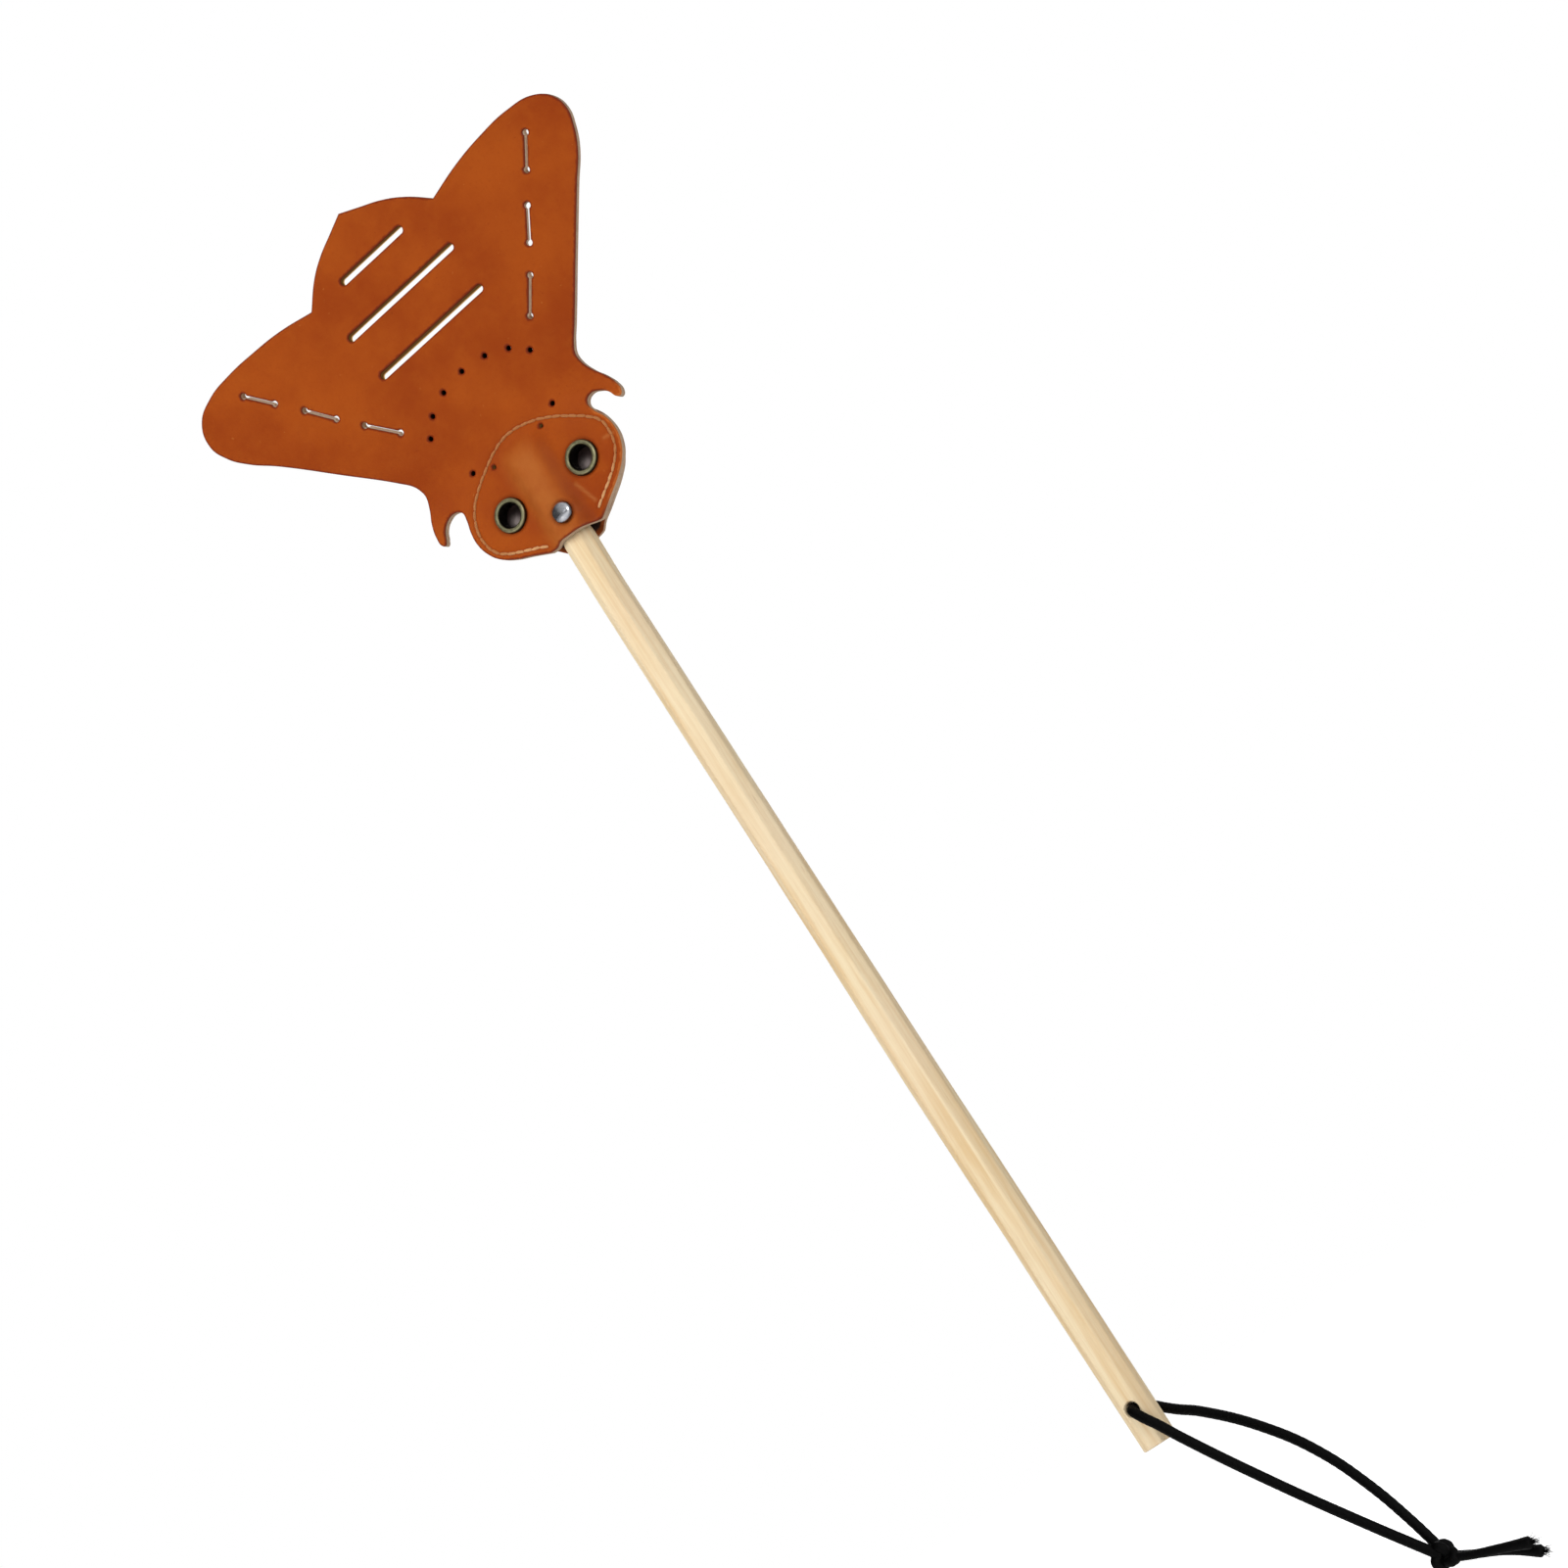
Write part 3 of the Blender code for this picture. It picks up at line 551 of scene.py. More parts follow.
# ================================================================ leather pieces
def collar_dots():
    angles = [index * COLLAR_STEP for index in range(-3, 4)]
    return [(COLLAR_RADII[0] * math.sin(angle), COLLAR_CENTRE + COLLAR_RADII[1] * math.cos(angle))
            for angle in angles]


def wing_slits():
    return WING_SLITS + [tuple(mirrored(slit)) for slit in WING_SLITS]


def blade_cuts():
    """Dots, slots and wing slits as (loop, how much painted shade the wall inside it gets)."""
    outer_dots = collar_dots() + NECK_DOTS[:1] + mirrored(NECK_DOTS[:1])
    inner_dots = NECK_DOTS[1:] + mirrored(NECK_DOTS[1:])
    cuts = [(circle_loop(dot, DOT_RADIUS), DOT_LOOK) for dot in outer_dots]
    cuts += [(circle_loop(dot, INNER_DOT_RADIUS, 0.28), INNER_DOT_LOOK) for dot in inner_dots]
    for half, height in SLOTS:
        slot = punched_slit((-half, height), (half, height), SLOT_HALF_HEIGHT, SLOT_HALF_HEIGHT)
        cuts.append((slot, SLOT_LOOK))
    return cuts + [(punched_slit(*slit, PUNCH_RADIUS, SLIT_HALF_WIDTH), SLIT_LOOK) for slit in wing_slits()]


def undercut(points):
    """How far the back of the sheet is displaced, because the knife and the punch were not held upright."""
    shift = np.zeros((len(points), 2))
    for (half, height), lean in zip(SLOTS, SLOT_LEAN):
        reach = segment_reach(points, (-half, height), (half, height))
        shift[:, 1] -= lean * (1 - smoothstep(SLOT_HALF_HEIGHT + 0.1, SLOT_HALF_HEIGHT + 3.4, reach))
    for slit, lean in zip(wing_slits(), SLIT_LEAN):
        reach = segment_reach(points, *slit)
        shift[:, 0] += lean * (1 - smoothstep(PUNCH_RADIUS + 0.1, PUNCH_RADIUS + 2.6, reach))
    for dot in collar_dots() + NECK_DOTS + mirrored(NECK_DOTS):
        reach = ring_distance(points, dot)
        share = 1 - smoothstep(DOT_RADIUS, DOT_RADIUS + 1.3, reach)
        share = share * DOT_CLOSING * np.minimum(DOT_RADIUS / np.maximum(reach, 0.1), 1)
        shift -= (points - np.array(dot)) * share[:, None]
    return shift


def pale_ends(flat):
    """1 on the walls at both ends of each wing slit, where the punch left pale fibres."""
    reach = np.minimum.reduce([ring_distance(flat, end) for slit in wing_slits() for end in slit])
    return 1 - smoothstep(0.9, 1.5, reach)


def metal_distance(flat):
    """Distance outside the nearest metal rim, for the ring of painted shade around it."""
    eyes = [ring_distance(flat, eye) - EYELET_RIM for eye in EYES.values()]
    return np.minimum.reduce(eyes + [ring_distance(flat, RIVET) - RIVET_CAP])


def make_front_leather(materials):
    """One sheet for head, wings and abdomen, moulded over the stick and leaning at the neck."""
    right = [ABDOMEN, WING_RIGHT + HOOK_RIGHT, MOUTH_RIGHT]
    left = [ABDOMEN, WING_LEFT + HOOK_LEFT, MOUTH_LEFT]
    outline = smooth_loop(right + left_side(left), EDGE_STEP)
    holes = [circle_loop(eye, EYELET_CLEARANCE) for eye in EYES.values()]
    holes.append(circle_loop(RIVET, RIVET_CLEARANCE))
    cuts = [(outline, 0.0)] + blade_cuts() + [(hole, METAL_HOLE_LOOK) for hole in holes]
    loops, looks = [loop for loop, _ in cuts], [look for _, look in cuts]
    path = seam_path(SEAM_SPACING)
    low, high, split = outline.min(0), outline.max(0), NECK + 6
    head = filling(loops, low, (high[0], split), HEAD_SPACING, 0.3, path)
    blade = filling(loops, (low[0], split), high, BLADE_SPACING, 0.4)

    def surfaces(points, gap):
        pressed = groove(distance_to_path(points, path), 0.34)
        for eye in EYES.values():
            pressed += 0.30 * (1 - smoothstep(EYELET_RIM - 0.6, EYELET_RIM + 1.7, ring_distance(points, eye)))
        height = FRONT_FACE + SHEET + stick_half_depth(points[:, 1]) + TUNNEL_SLACK
        face = FRONT_FACE - height * tunnel(points[:, 0], points[:, 1]) + waviness(points)
        front = riveted(points, face + pressed + rounded_edge(gap, 0.8, 0.42), RIVET_SEATS[0])
        return front, face + SHEET - rounded_edge(gap, 0.5, 0.22)

    free_points = np.vstack([head, blade, seam_ribbon(path, loops)])
    sheet, flat = thick_sheet("front_leather", loops, looks, free_points, surfaces, 4)
    # Painted highlight along each crease line.
    crease_light_lines = [np.exp(-(segment_reach(flat, *line) / 0.5) ** 2) for line in LIT_CREASE_LINES]
    add_attribute(sheet, "seam_mm", distance_to_path(flat, path))
    add_attribute(sheet, "pale_end", pale_ends(flat))
    # Painted highlight on the bulge's left slope, where the light falls on it.
    add_attribute(sheet, "painted_crest_highlight", tunnel(flat[:, 0] + 2.2, flat[:, 1]))
    add_attribute(sheet, "painted_crease_highlight", np.maximum.reduce(crease_light_lines))
    add_attribute(sheet, "metal_mm", metal_distance(flat))
    # Painted highlight: on the head's lower right the cut edge catches the light.
    add_attribute(sheet, "painted_edge_highlight", smoothstep(10, 20, flat[:, 0]) * (1 - smoothstep(27, 33, flat[:, 1])))
    dress(sheet, materials, ["leather_blade", "leather_head_front"])
    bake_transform(sheet)


def make_back_patch(materials):
    """Head-shaped patch behind the stick, flesh side out."""
    sides = [PATCH_RIGHT, PATCH_END_RIGHT] + left_side([PATCH_LEFT, PATCH_END_LEFT])
    outline = smooth_loop(sides, EDGE_STEP)
    loops = [outline, circle_loop(RIVET, RIVET_CLEARANCE)]
    path = seam_path(SEAM_SPACING)
    inner, outer = PATCH_MIDDLE - PATCH / 2, PATCH_MIDDLE + PATCH / 2

    def surfaces(points, gap):
        depth = POCKET_DEPTH * pocket(points[:, 0], points[:, 1])
        height = stick_half_depth(points[:, 1]) + TUNNEL_SLACK - inner
        rise = depth + (height - depth) * tunnel(points[:, 0], points[:, 1])
        pulled = groove(distance_to_path(points, path), 0.3)
        back = outer + rise - pulled - rounded_edge(gap, 0.7, 0.35)
        return inner + rise + rounded_edge(gap, 0.5, 0.2), riveted(points, back, RIVET_SEATS[1])

    grid = filling(loops, outline.min(0), outline.max(0), HEAD_SPACING, 0.3, path)
    free_points = np.vstack([grid, seam_ribbon(path, loops)])
    patch, flat = thick_sheet("back_patch", loops, [0.0, PATCH_HOLE_LOOK], free_points, surfaces, 3)
    lit = [np.exp(-(ring_distance(flat, np.array(eye) + EYE_LIGHT) / 1.7) ** 2) for eye in EYES.values()]
    add_attribute(patch, "seam_mm", distance_to_path(flat, path))
    add_attribute(patch, "metal_mm", ring_distance(flat, RIVET) - RIVET_CAP)
    add_attribute(patch, "eye_light", np.maximum.reduce(lit))
    dress(patch, materials, ["leather_head_back"], "handle")


# ================================================================ skins, tubes and stitches
STITCH_PITCH = 2.9
STITCH_LENGTH = 2.8
THREAD_RADIUS = 0.44
STITCH_POINTS = 11


def lofted(rings, ends=None):
    """Closed skin over rings of equal point counts, with a fan to a middle point at both ends."""
    count, around = rings.shape[:2]
    ends = rings[[0, -1]].mean(1) if ends is None else ends
    grid = np.arange(count * around).reshape(count, around)
    turned_on = np.roll(grid, -1, axis=1)
    quads = np.stack([grid[:-1], turned_on[:-1], turned_on[1:], grid[1:]], axis=-1).reshape(-1, 4)
    first = [(count * around, after, here) for here, after in zip(grid[0], turned_on[0])]
    last = [(count * around + 1, here, after) for here, after in zip(grid[-1], turned_on[-1])]
    return np.vstack([rings.reshape(-1, 3), ends]), quads.tolist() + first + last


def tube_along(path, radii, around, twist=0.0, lobes=0, lobe_depth=0.0, braid=None):
    """Tube mesh (vertices, faces) along a path, with closed ends. Radii are per path point."""
    path = np.asarray(path, float)
    tangent = np.gradient(path, axis=0)
    tangent /= np.linalg.norm(tangent, axis=1)[:, None]
    side = np.cross(tangent[0], (0.0, 0.0, 1.0))
    if np.linalg.norm(side) < 0.2:
        side = np.cross(tangent[0], (1.0, 0.0, 0.0))
    sides = [side / np.linalg.norm(side)]
    for step in tangent[1:]:
        side = sides[-1] - step * np.dot(sides[-1], step)
        sides.append(side / np.linalg.norm(side))
    sides = np.array(sides)
    other = np.cross(tangent, sides)
    travelled = np.concatenate([[0], np.cumsum(np.linalg.norm(np.diff(path, axis=0), axis=1))])[:, None]
    angles = around_circle(around)
    turn = angles + twist * travelled
    swell = 1 + lobe_depth * np.abs(np.cos(lobes * turn / 2)) if lobes else np.ones_like(turn)
    if braid is not None:
        swell = swell * braid(angles, travelled)
    reach = (np.asarray(radii, float)[:, None] * swell)[:, :, None]
    turned_side = np.cos(angles)[:, None] * sides[:, None] + np.sin(angles)[:, None] * other[:, None]
    return lofted(path[:, None] + reach * turned_side, path[[0, -1]])


def merged(tubes):
    """One vertex list and face list from several."""
    vertices, faces, start = [], [], 0
    for points, quads in tubes:
        vertices.append(points)
        faces += [[index + start for index in quad] for quad in quads]
        start += len(points)
    return np.vstack(vertices), faces


def make_stitches(name, node, depth, out, material):
    """Row of thread loops along the seam. out is -1 on the grain side and +1 on the back."""
    fine = seam_path(0.1)
    lengths = np.arange(len(fine)) * np.linalg.norm(np.diff(fine, axis=0), axis=1).mean()
    count = int(lengths[-1] / STITCH_PITCH)
    share = np.linspace(0, 1, STITCH_POINTS)
    arch = np.sin(np.linspace(0, math.pi, STITCH_POINTS)) ** 0.35
    thickness = 0.62 + 0.38 * np.sin(np.linspace(0.15, math.pi - 0.15, STITCH_POINTS)) ** 0.5
    tubes = []
    for index in range(count):
        middle = (index + 0.5) * lengths[-1] / count + 0.10 * math.sin(index * 2.3)
        places = middle + STITCH_LENGTH * (share - 0.5)
        x = np.interp(places, lengths, fine[:, 0])
        z = np.interp(places, lengths, fine[:, 1])
        skew = 0.12 * math.sin(index * 1.7) * (2 * share - 1)
        slope = np.arctan2(np.gradient(z), np.gradient(x)) + math.pi / 2
        path = bent(x + skew * np.cos(slope), depth + out * (0.42 * arch - 0.34), z + skew * np.sin(slope))
        tubes.append(tube_along(path, THREAD_RADIUS * thickness, 12, twist=2.6, lobes=2, lobe_depth=0.16))
    stitches = mesh_object(name, *merged(tubes))
    height = np.array([vertex.co.z / MM for vertex in stitches.data.vertices]) - MOUTH_Z
    add_attribute(stitches, "near_end", 1 - smoothstep(7.0, 14.0, height))
    normals_outward(stitches)
    dress(stitches, [material], [node], "handle")


# ================================================================ turned metal
def turned(name, profile, centre, around, wobble=0.0):
    """Solid of revolution along Y through centre, a row-frame (x, z). Profile points are (radius, y)."""
    angles = around_circle(around)
    unevenness = 1 + wobble * (np.sin(3 * angles + 0.6) + 0.6 * np.sin(7 * angles))
    vertices, rows = [], []
    for radius, y in profile:
        ring = polar(centre, radius * unevenness, angles)[:1 if radius < 1e-6 else around]
        rows.append(range(len(vertices), len(vertices) + len(ring)))
        vertices += [(x, y, z) for x, z in ring]
    if len(rows[0]) > 1 and len(rows[-1]) > 1:
        rows.append(rows[0])
    faces = []
    for upper, lower in zip(rows, rows[1:]):
        for j in range(around):
            k = (j + 1) % around
            if len(upper) == 1:
                faces.append((upper[0], lower[j], lower[k]))
            elif len(lower) == 1:
                faces.append((upper[j], upper[k], lower[0]))
            else:
                faces.append((upper[j], upper[k], lower[k], lower[j]))
    made = mesh_object(name, vertices, faces)
    normals_outward(made)
    return made


def metal_piece(name, profile, place, around, material, node, wobble=0.0):
    """Turned piece of the head, which knows each point's distance from its own axis."""
    centre = above_mouth(place)
    made = turned(name, profile, centre, around, wobble)
    mark_sharp_edges(made, 50)
    radii = [math.hypot(v.co.x / MM - centre[0], v.co.z / MM - centre[1]) for v in made.data.vertices]
    add_attribute(made, "radius_mm", radii)
    dress(made, [material], [node], "handle")


def arc(centre, radii, start, end, steps):
    """Points on part of an ellipse, angles in degrees from the outward radial direction."""
    angles = np.radians(np.linspace(start, end, steps))
    return [(centre[0] + radii[0] * math.cos(a), centre[1] + radii[1] * math.sin(a)) for a in angles]


def make_eyelets(material):
    """Rounded bead in front, barrel through the leather, and an edge rolled over the washer behind."""
    seat = FRONT_FACE + 0.1
    middle, half = (EYELET_HOLE + EYELET_RIM) / 2, (EYELET_RIM - EYELET_HOLE) / 2
    for side, eye in EYES.items():
        node = "eyelet_" + side
        top, bottom = (corner.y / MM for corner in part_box(node))
        profile = arc((middle + 0.05, seat), (half + 0.05, seat - top), 0, -180, 17)
        profile += [(EYELET_HOLE, seat + 0.6), (EYELET_HOLE, bottom - 0.6)]
        profile += arc((middle - 0.3, bottom - 0.45), (half - 0.3, 0.45), 180, 0, 9)
        profile += [(EYELET_BARREL, bottom - 0.5), (EYELET_BARREL, seat)]
        metal_piece("brass_" + node, profile, eye, 72, material, node, 0.006)
        washer = frame["nodes"]["eyelet_washer_" + side].data.materials
        washer.clear()
        washer.append(material)


def make_rivet(material):
    """Domed cap in front, domed head behind, each with a fine turned-down lip."""
    front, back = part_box("rivet_cap"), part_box("rivet_post")
    ends = (("nickel_rivet_cap", "rivet_cap", -1, front[0].y / MM, RIVET_TUBE, 3.0),
            ("nickel_rivet_back", "rivet_post", 1, back[1].y / MM, RIVET_SHANK, back[0].y / MM))
    for (name, node, sign, outer, core, shank_end), seat in zip(ends, RIVET_SEATS):
        lip = seat + sign * 0.4
        base = [(0.0, shank_end), (core, shank_end), (core, seat)]
        rim = [(RIVET_CAP - 0.25, seat), (RIVET_CAP - 0.05, seat + sign * 0.12)]
        rim.append((RIVET_CAP + 0.02, lip - sign * 0.15))
        dome = arc((0.0, lip), (RIVET_CAP, outer - lip), 0, 90, 12)[:-1]
        metal_piece(name, base + rim + dome + [(0.0, outer)], RIVET, 64, material, node)


# ================================================================ stick
STICK_WIDTH = 10.2
STICK_CHAMFER = 2.7
SWELL = [(0.0, 1.0), (0.03, 1.0), (0.16, 1.04), (0.33, 1.06), (0.55, 1.02), (0.8, 1.0), (1.0, 1.0)]
STICK_BOW = 0.55                # the stick is a little bowed to the left
STICK_AROUND = 96
END_EASE = 0.5
RIDGE_SHARPNESS = 70            # how closely the section follows its facets


def stick_ring(z):
    """Section of the stick at a height: eight facets, each shaved a little unevenly."""
    share, scale = zip(*SWELL)
    hidden = float(np.clip((z - MOUTH_Z) / INSERTED, 0, 1))
    half_width = STICK_WIDTH / 2 * np.interp(z / STICK_TOP, share, scale) * (1 - (1 - TIP_WIDTH) * hidden)
    half_depth = float(stick_half_depth(z - MOUTH_Z))
    chamfer = min(STICK_CHAMFER, 0.84 * half_depth)
    diagonal = (half_width + half_depth - chamfer) / math.sqrt(2)
    reach = np.array([half_depth, diagonal, half_width, diagonal] * 2)
    shaved = 1 - smoothstep(MOUTH_Z - 12, MOUTH_Z, z)
    for index in range(8):
        wander = noise.fractal(Vector((index * 3.7, z / 60.0, 1.3)), 1.0, 2.0, 2)
        chatter = noise.fractal(Vector((index * 5.1, z / 9.0, 7.7)), 1.0, 2.0, 2)
        loose, pared = (0.30, 0.0) if index % 2 else (0.12, 0.05)
        reach[index] += shaved * (loose * wander + 0.035 * chatter) - pared
    ease = END_EASE - min(z, STICK_TOP - z, END_EASE)
    reach = reach - (END_EASE - math.sqrt(END_EASE ** 2 - ease ** 2))
    angles = around_circle(STICK_AROUND)
    facing = np.radians([270, 315, 0, 45, 90, 135, 180, 225])
    closeness = np.maximum(np.cos(angles[:, None] - facing), 1e-3) / reach
    radius = (closeness ** RIDGE_SHARPNESS).sum(1) ** (-1 / RIDGE_SHARPNESS)
    bow = -STICK_BOW * smoothstep(0, 150, z) * (1 - smoothstep(300, 328, z))
    return np.column_stack([bow + radius * np.cos(angles), radius * np.sin(angles), np.full(STICK_AROUND, z)])


def make_stick(material, end_material):
    """Hand-shaved stick with facets whose ridges wander, eased ends, and two drilled holes."""
    end = np.array([0.0, 0.08, 0.2, END_EASE])
    heights = np.concatenate([end, np.linspace(1.5, STICK_TOP - 1.5, 240), STICK_TOP - end[::-1]])
    stick = mesh_object("wooden_stick", *lofted(np.array([stick_ring(z) for z in heights])))
    normals_outward(stick)
    bore(stick, (0, CORD_HOLE.z / MM), CORD_BORE)
    bore(stick, above_mouth(RIVET), RIVET_CLEARANCE)
    stick.data.materials.clear()
    dress(stick, [material, end_material], ["wooden_handle"], "handle")
    for face in stick.data.polygons:
        face.material_index = 1 if abs(face.normal.z) > 0.9 else 0
    stick.data.shade_smooth()
    mark_sharp_edges(stick, 35)


def bore(made, centre, radius):
    """Hole along Y with slightly eased rims."""
    face = STICK_DEPTH / 2
    rim = [(0.0, 2 * face), (radius + 0.6, 2 * face), (radius + 0.5, face + 0.02),
           (radius + 0.12, face - 0.3), (radius, face - 0.6)]
    tool = turned("bore_cutter", [(reach, -y) for reach, y in rim] + rim[::-1], centre, 40)
    cut = made.modifiers.new("bore", "BOOLEAN")
    cut.operation = "DIFFERENCE"
    cut.solver = "EXACT"
    cut.object = tool
    bpy.context.view_layer.update()
    made.data = bpy.data.meshes.new_from_object(made.evaluated_get(bpy.context.evaluated_depsgraph_get()))
    made.modifiers.clear()
    bpy.data.objects.remove(tool)


# ================================================================ cord
CORD_RADIUS = 1.47
CORD_ANGLE = math.radians(34.2)
KNOT_DISTANCE = 93.0
FRONT_STRAND = [(0, 0, 0), (0, 0, -3.6), (0.7, 0, -5.6), (3, 0, -6.4), (9, 0, -6.5), (16, -0.4, -6.3),
                (43, -1.2, -4.2), (72, -0.8, -2.6), (93, 0, -1.6)]
REAR_STRAND = [(0, 0, 0), (0, 0, 3.6), (0.7, 0, 5.6), (3, 0.3, 6.4), (9, 2.0, 6.5), (16, 4.7, 6.3),
               (36.5, 9.3, 4.6), (52, 9.9, 3.6), (67, 7.8, 2.8), (80, 4.4, 2.2), (93, 0, 1.6)]
TAILS = [[(93, -0.6, -1.2), (99, 3.4, -1.6), (106, 9.0, -1.7), (113, 14.6, -1.8)],
         [(93, -0.4, 1.2), (99, 2.8, 1.6), (107, 8.0, 1.7), (116.5, 12.6, 1.8)]]
KNOT_TURNS = ((1.0, 0.3, -0.9, 1.47), (0.97, 1.25, 1.1, 1.42))  # size, turn, shift in depth, cord radius
BRAID_CARRIERS = 6
BRAID_PITCH = 2.4
CORD_AROUND = 30
FIBRES_PER_TAIL = 80


def cord_place(points):
    """Row-frame mm of (distance towards the knot, sideways, y) cord coordinates."""
    forward, aside, y = np.asarray(points, float).T
    x = forward * math.sin(CORD_ANGLE) + aside * math.cos(CORD_ANGLE)
    z = forward * -math.cos(CORD_ANGLE) + aside * math.sin(CORD_ANGLE) + CORD_HOLE.z / MM
    return np.column_stack([x, y, z])


def braid(angles, travelled):
    """Radius factor of a braided sheath: two sets of strands that cross over and under."""
    along = 2 * math.pi * travelled / BRAID_PITCH
    left = np.cos(BRAID_CARRIERS * angles + along)
    right = np.cos(BRAID_CARRIERS * angles - along)
    return 1 + 0.035 * np.maximum(left, right)


def cord_tube(knots, flare=0.0):
    """Braided tube through cord coordinates, with softly closed ends. A flared one swells to its end."""
    path = resampled(bezier_samples(cord_place(knots)), 0.3)
    shape = np.ones(len(path))
    if flare:
        shape = 0.84 + flare * np.linspace(0, 1, len(path)) ** 5
    eased = np.maximum(np.sqrt(1 - (1 - np.arange(4) / 4) ** 2), 0.05)
    shape[:4] *= eased
    shape[-4:] *= eased[::-1]
    return tube_along(path, CORD_RADIUS * shape, CORD_AROUND, braid=braid)


def knot_tubes():
    """Tight overhand knot, drawn as a compact three-lobed loop and a second turn behind it."""
    t = np.linspace(0, 2 * math.pi, 160)
    tubes = []
    for size, turn, shift, thick in KNOT_TURNS:
        forward = KNOT_DISTANCE + size * (np.sin(t + turn) + 2 * np.sin(2 * t + turn))
        aside = 0.95 * size * (np.cos(t + turn) - 2 * np.cos(2 * t + turn))
        points = np.column_stack([forward, aside, shift - size * 1.1 * np.sin(3 * t)])
        tubes.append(tube_along(cord_place(points), np.full(len(t), thick), CORD_AROUND, braid=braid))
    return tubes


def fibre_tubes():
    """Loose fibres at the two cut ends."""
    tubes = []
    rng = np.random.default_rng(11)
    for tail in TAILS:
        tip, before = np.array(tail[-1]), np.array(tail[-2])
        heading = (tip - before) / np.linalg.norm(tip - before)
        for _ in range(FIBRES_PER_TAIL):
            spread = rng.normal(0, 0.34, 3)
            root = tip - heading * 1.6 + rng.normal(0, 0.5, 3)
            length = rng.uniform(1.5, 2.9)
            middle = root + (heading + 0.45 * spread) * length * 0.5
            end = root + (heading + spread) * length
            path = resampled(bezier_samples(cord_place([root, middle, end]), steps=6), 0.35)
            radius = rng.uniform(0.07, 0.13)
            tubes.append(tube_along(path, radius * np.linspace(1.0, 0.45, len(path)), 6))
    return tubes


def make_cord(material, fibre_material):
    loop = [cord_tube(REAR_STRAND[:0:-1] + FRONT_STRAND)] + [cord_tube(tail, 0.42) for tail in TAILS]
    pieces = (("cord_loop", loop, material, ["wrist_cord"]), ("cord_knot", knot_tubes(), material, []),
              ("frayed_fibres", fibre_tubes(), fibre_material, []))
    for name, tubes, look, nodes in pieces:
        piece = mesh_object(name, *merged(tubes))
        normals_outward(piece)
        dress(piece, [look], nodes, "cord")


# ================================================================ materials
def linear(colour):
    """Linear RGBA of an sRGB colour in 0 to 255. The output of a node is left alone."""
    if isinstance(colour, bpy.types.NodeSocket):
        return colour
    return tuple((channel / 255) ** 2.2 for channel in colour) + (1.0,)


class Graph:
    """Builds the nodes of a material or a world. Keeps a material's colour and relief made so far."""

    def __init__(self, owner):
        owner.use_nodes = True
        self.owner = owner
        self.tree = owner.node_tree
        self.colour = None
        self.normal = None

    def put(self, socket, value):
        if isinstance(value, bpy.types.NodeSocket):
            self.tree.links.new(value, socket)
        else:
            socket.default_value = value

    def add(self, kind, inputs=None, **settings):
        node = self.tree.nodes.new(kind)
        for key, value in settings.items():
            setattr(node, key, value)
        for key, value in (inputs or {}).items():
            self.put(node.inputs[key], value)
        return node

    def coordinates(self, stretch=(1, 1, 1), attribute=None):
        """Object coordinates or a vector attribute, stretched along its axes."""
        if attribute:
            base = self.add("ShaderNodeAttribute", attribute_name=attribute).outputs["Vector"]
        else:
            base = self.add("ShaderNodeTexCoord").outputs["Object"]
        return self.add("ShaderNodeMapping", {"Vector": base, "Scale": stretch}).outputs["Vector"]

    def value(self, name):
        return self.add("ShaderNodeAttribute", attribute_name=name).outputs["Fac"]

    def noise(self, size_mm, vector, detail=3.0, roughness=0.5, distortion=0.0):
        """Noise with features of about size_mm, from 0 to 1."""
        inputs = {"Scale": 1000.0 / size_mm, "Detail": detail, "Roughness": roughness,
                  "Distortion": distortion, "Vector": vector}
        return self.add("ShaderNodeTexNoise", inputs).outputs["Fac"]

    def cells(self, size_mm, vector):
        inputs = {"Scale": 1000.0 / size_mm, "Vector": vector}
        return self.add("ShaderNodeTexVoronoi", inputs, feature="SMOOTH_F1").outputs["Distance"]

    def span(self, value, low, high, to_low=0.0, to_high=1.0, smooth=True):
        inputs = {"Value": value, "From Min": low, "From Max": high, "To Min": to_low, "To Max": to_high}
        kind = "SMOOTHSTEP" if smooth else "LINEAR"
        return self.add("ShaderNodeMapRange", inputs, interpolation_type=kind).outputs["Result"]

    def math(self, operation, first, second):
        return self.add("ShaderNodeMath", {0: first, 1: second}, operation=operation).outputs[0]

    def mix(self, share, first, second):
        inputs = {0: share, 6: linear(first), 7: linear(second)}
        return self.add("ShaderNodeMix", inputs, data_type="RGBA").outputs[2]

    def base(self, value, low, high, first, second):
        """Start with one colour, and end with another as a value goes from low to high."""
        self.colour = self.mix(self.span(value, low, high), first, second)

    def cover(self, mask, colour, share=1.0):
        """Lay a colour on where the mask is 1."""
        if share < 1.0:
            mask = self.math("MULTIPLY", mask, share)
        self.colour = self.mix(mask, self.colour, colour)

    def tint(self, value, low, high, colour, share=1.0):
        """Lay a colour on as a value goes from low to high."""
        self.cover(self.span(value, low, high), colour, share)

    def bump(self, height, distance_mm, strength):
        inputs = {"Height": height, "Distance": distance_mm * MM, "Strength": strength}
        if self.normal is not None:
            inputs["Normal"] = self.normal
        self.normal = self.add("ShaderNodeBump", inputs).outputs["Normal"]

    def finish(self, roughness, **extra):
        shader = self.tree.nodes["Principled BSDF"]
        self.put(shader.inputs["Base Color"], self.colour)
        self.put(shader.inputs["Roughness"], roughness)
        if self.normal is not None:
            self.put(shader.inputs["Normal"], self.normal)
        for key, value in extra.items():
            self.put(shader.inputs[key.replace("_", " ")], value)
        return self.owner


def material_graph(name):
    return Graph(bpy.data.materials.new(name))


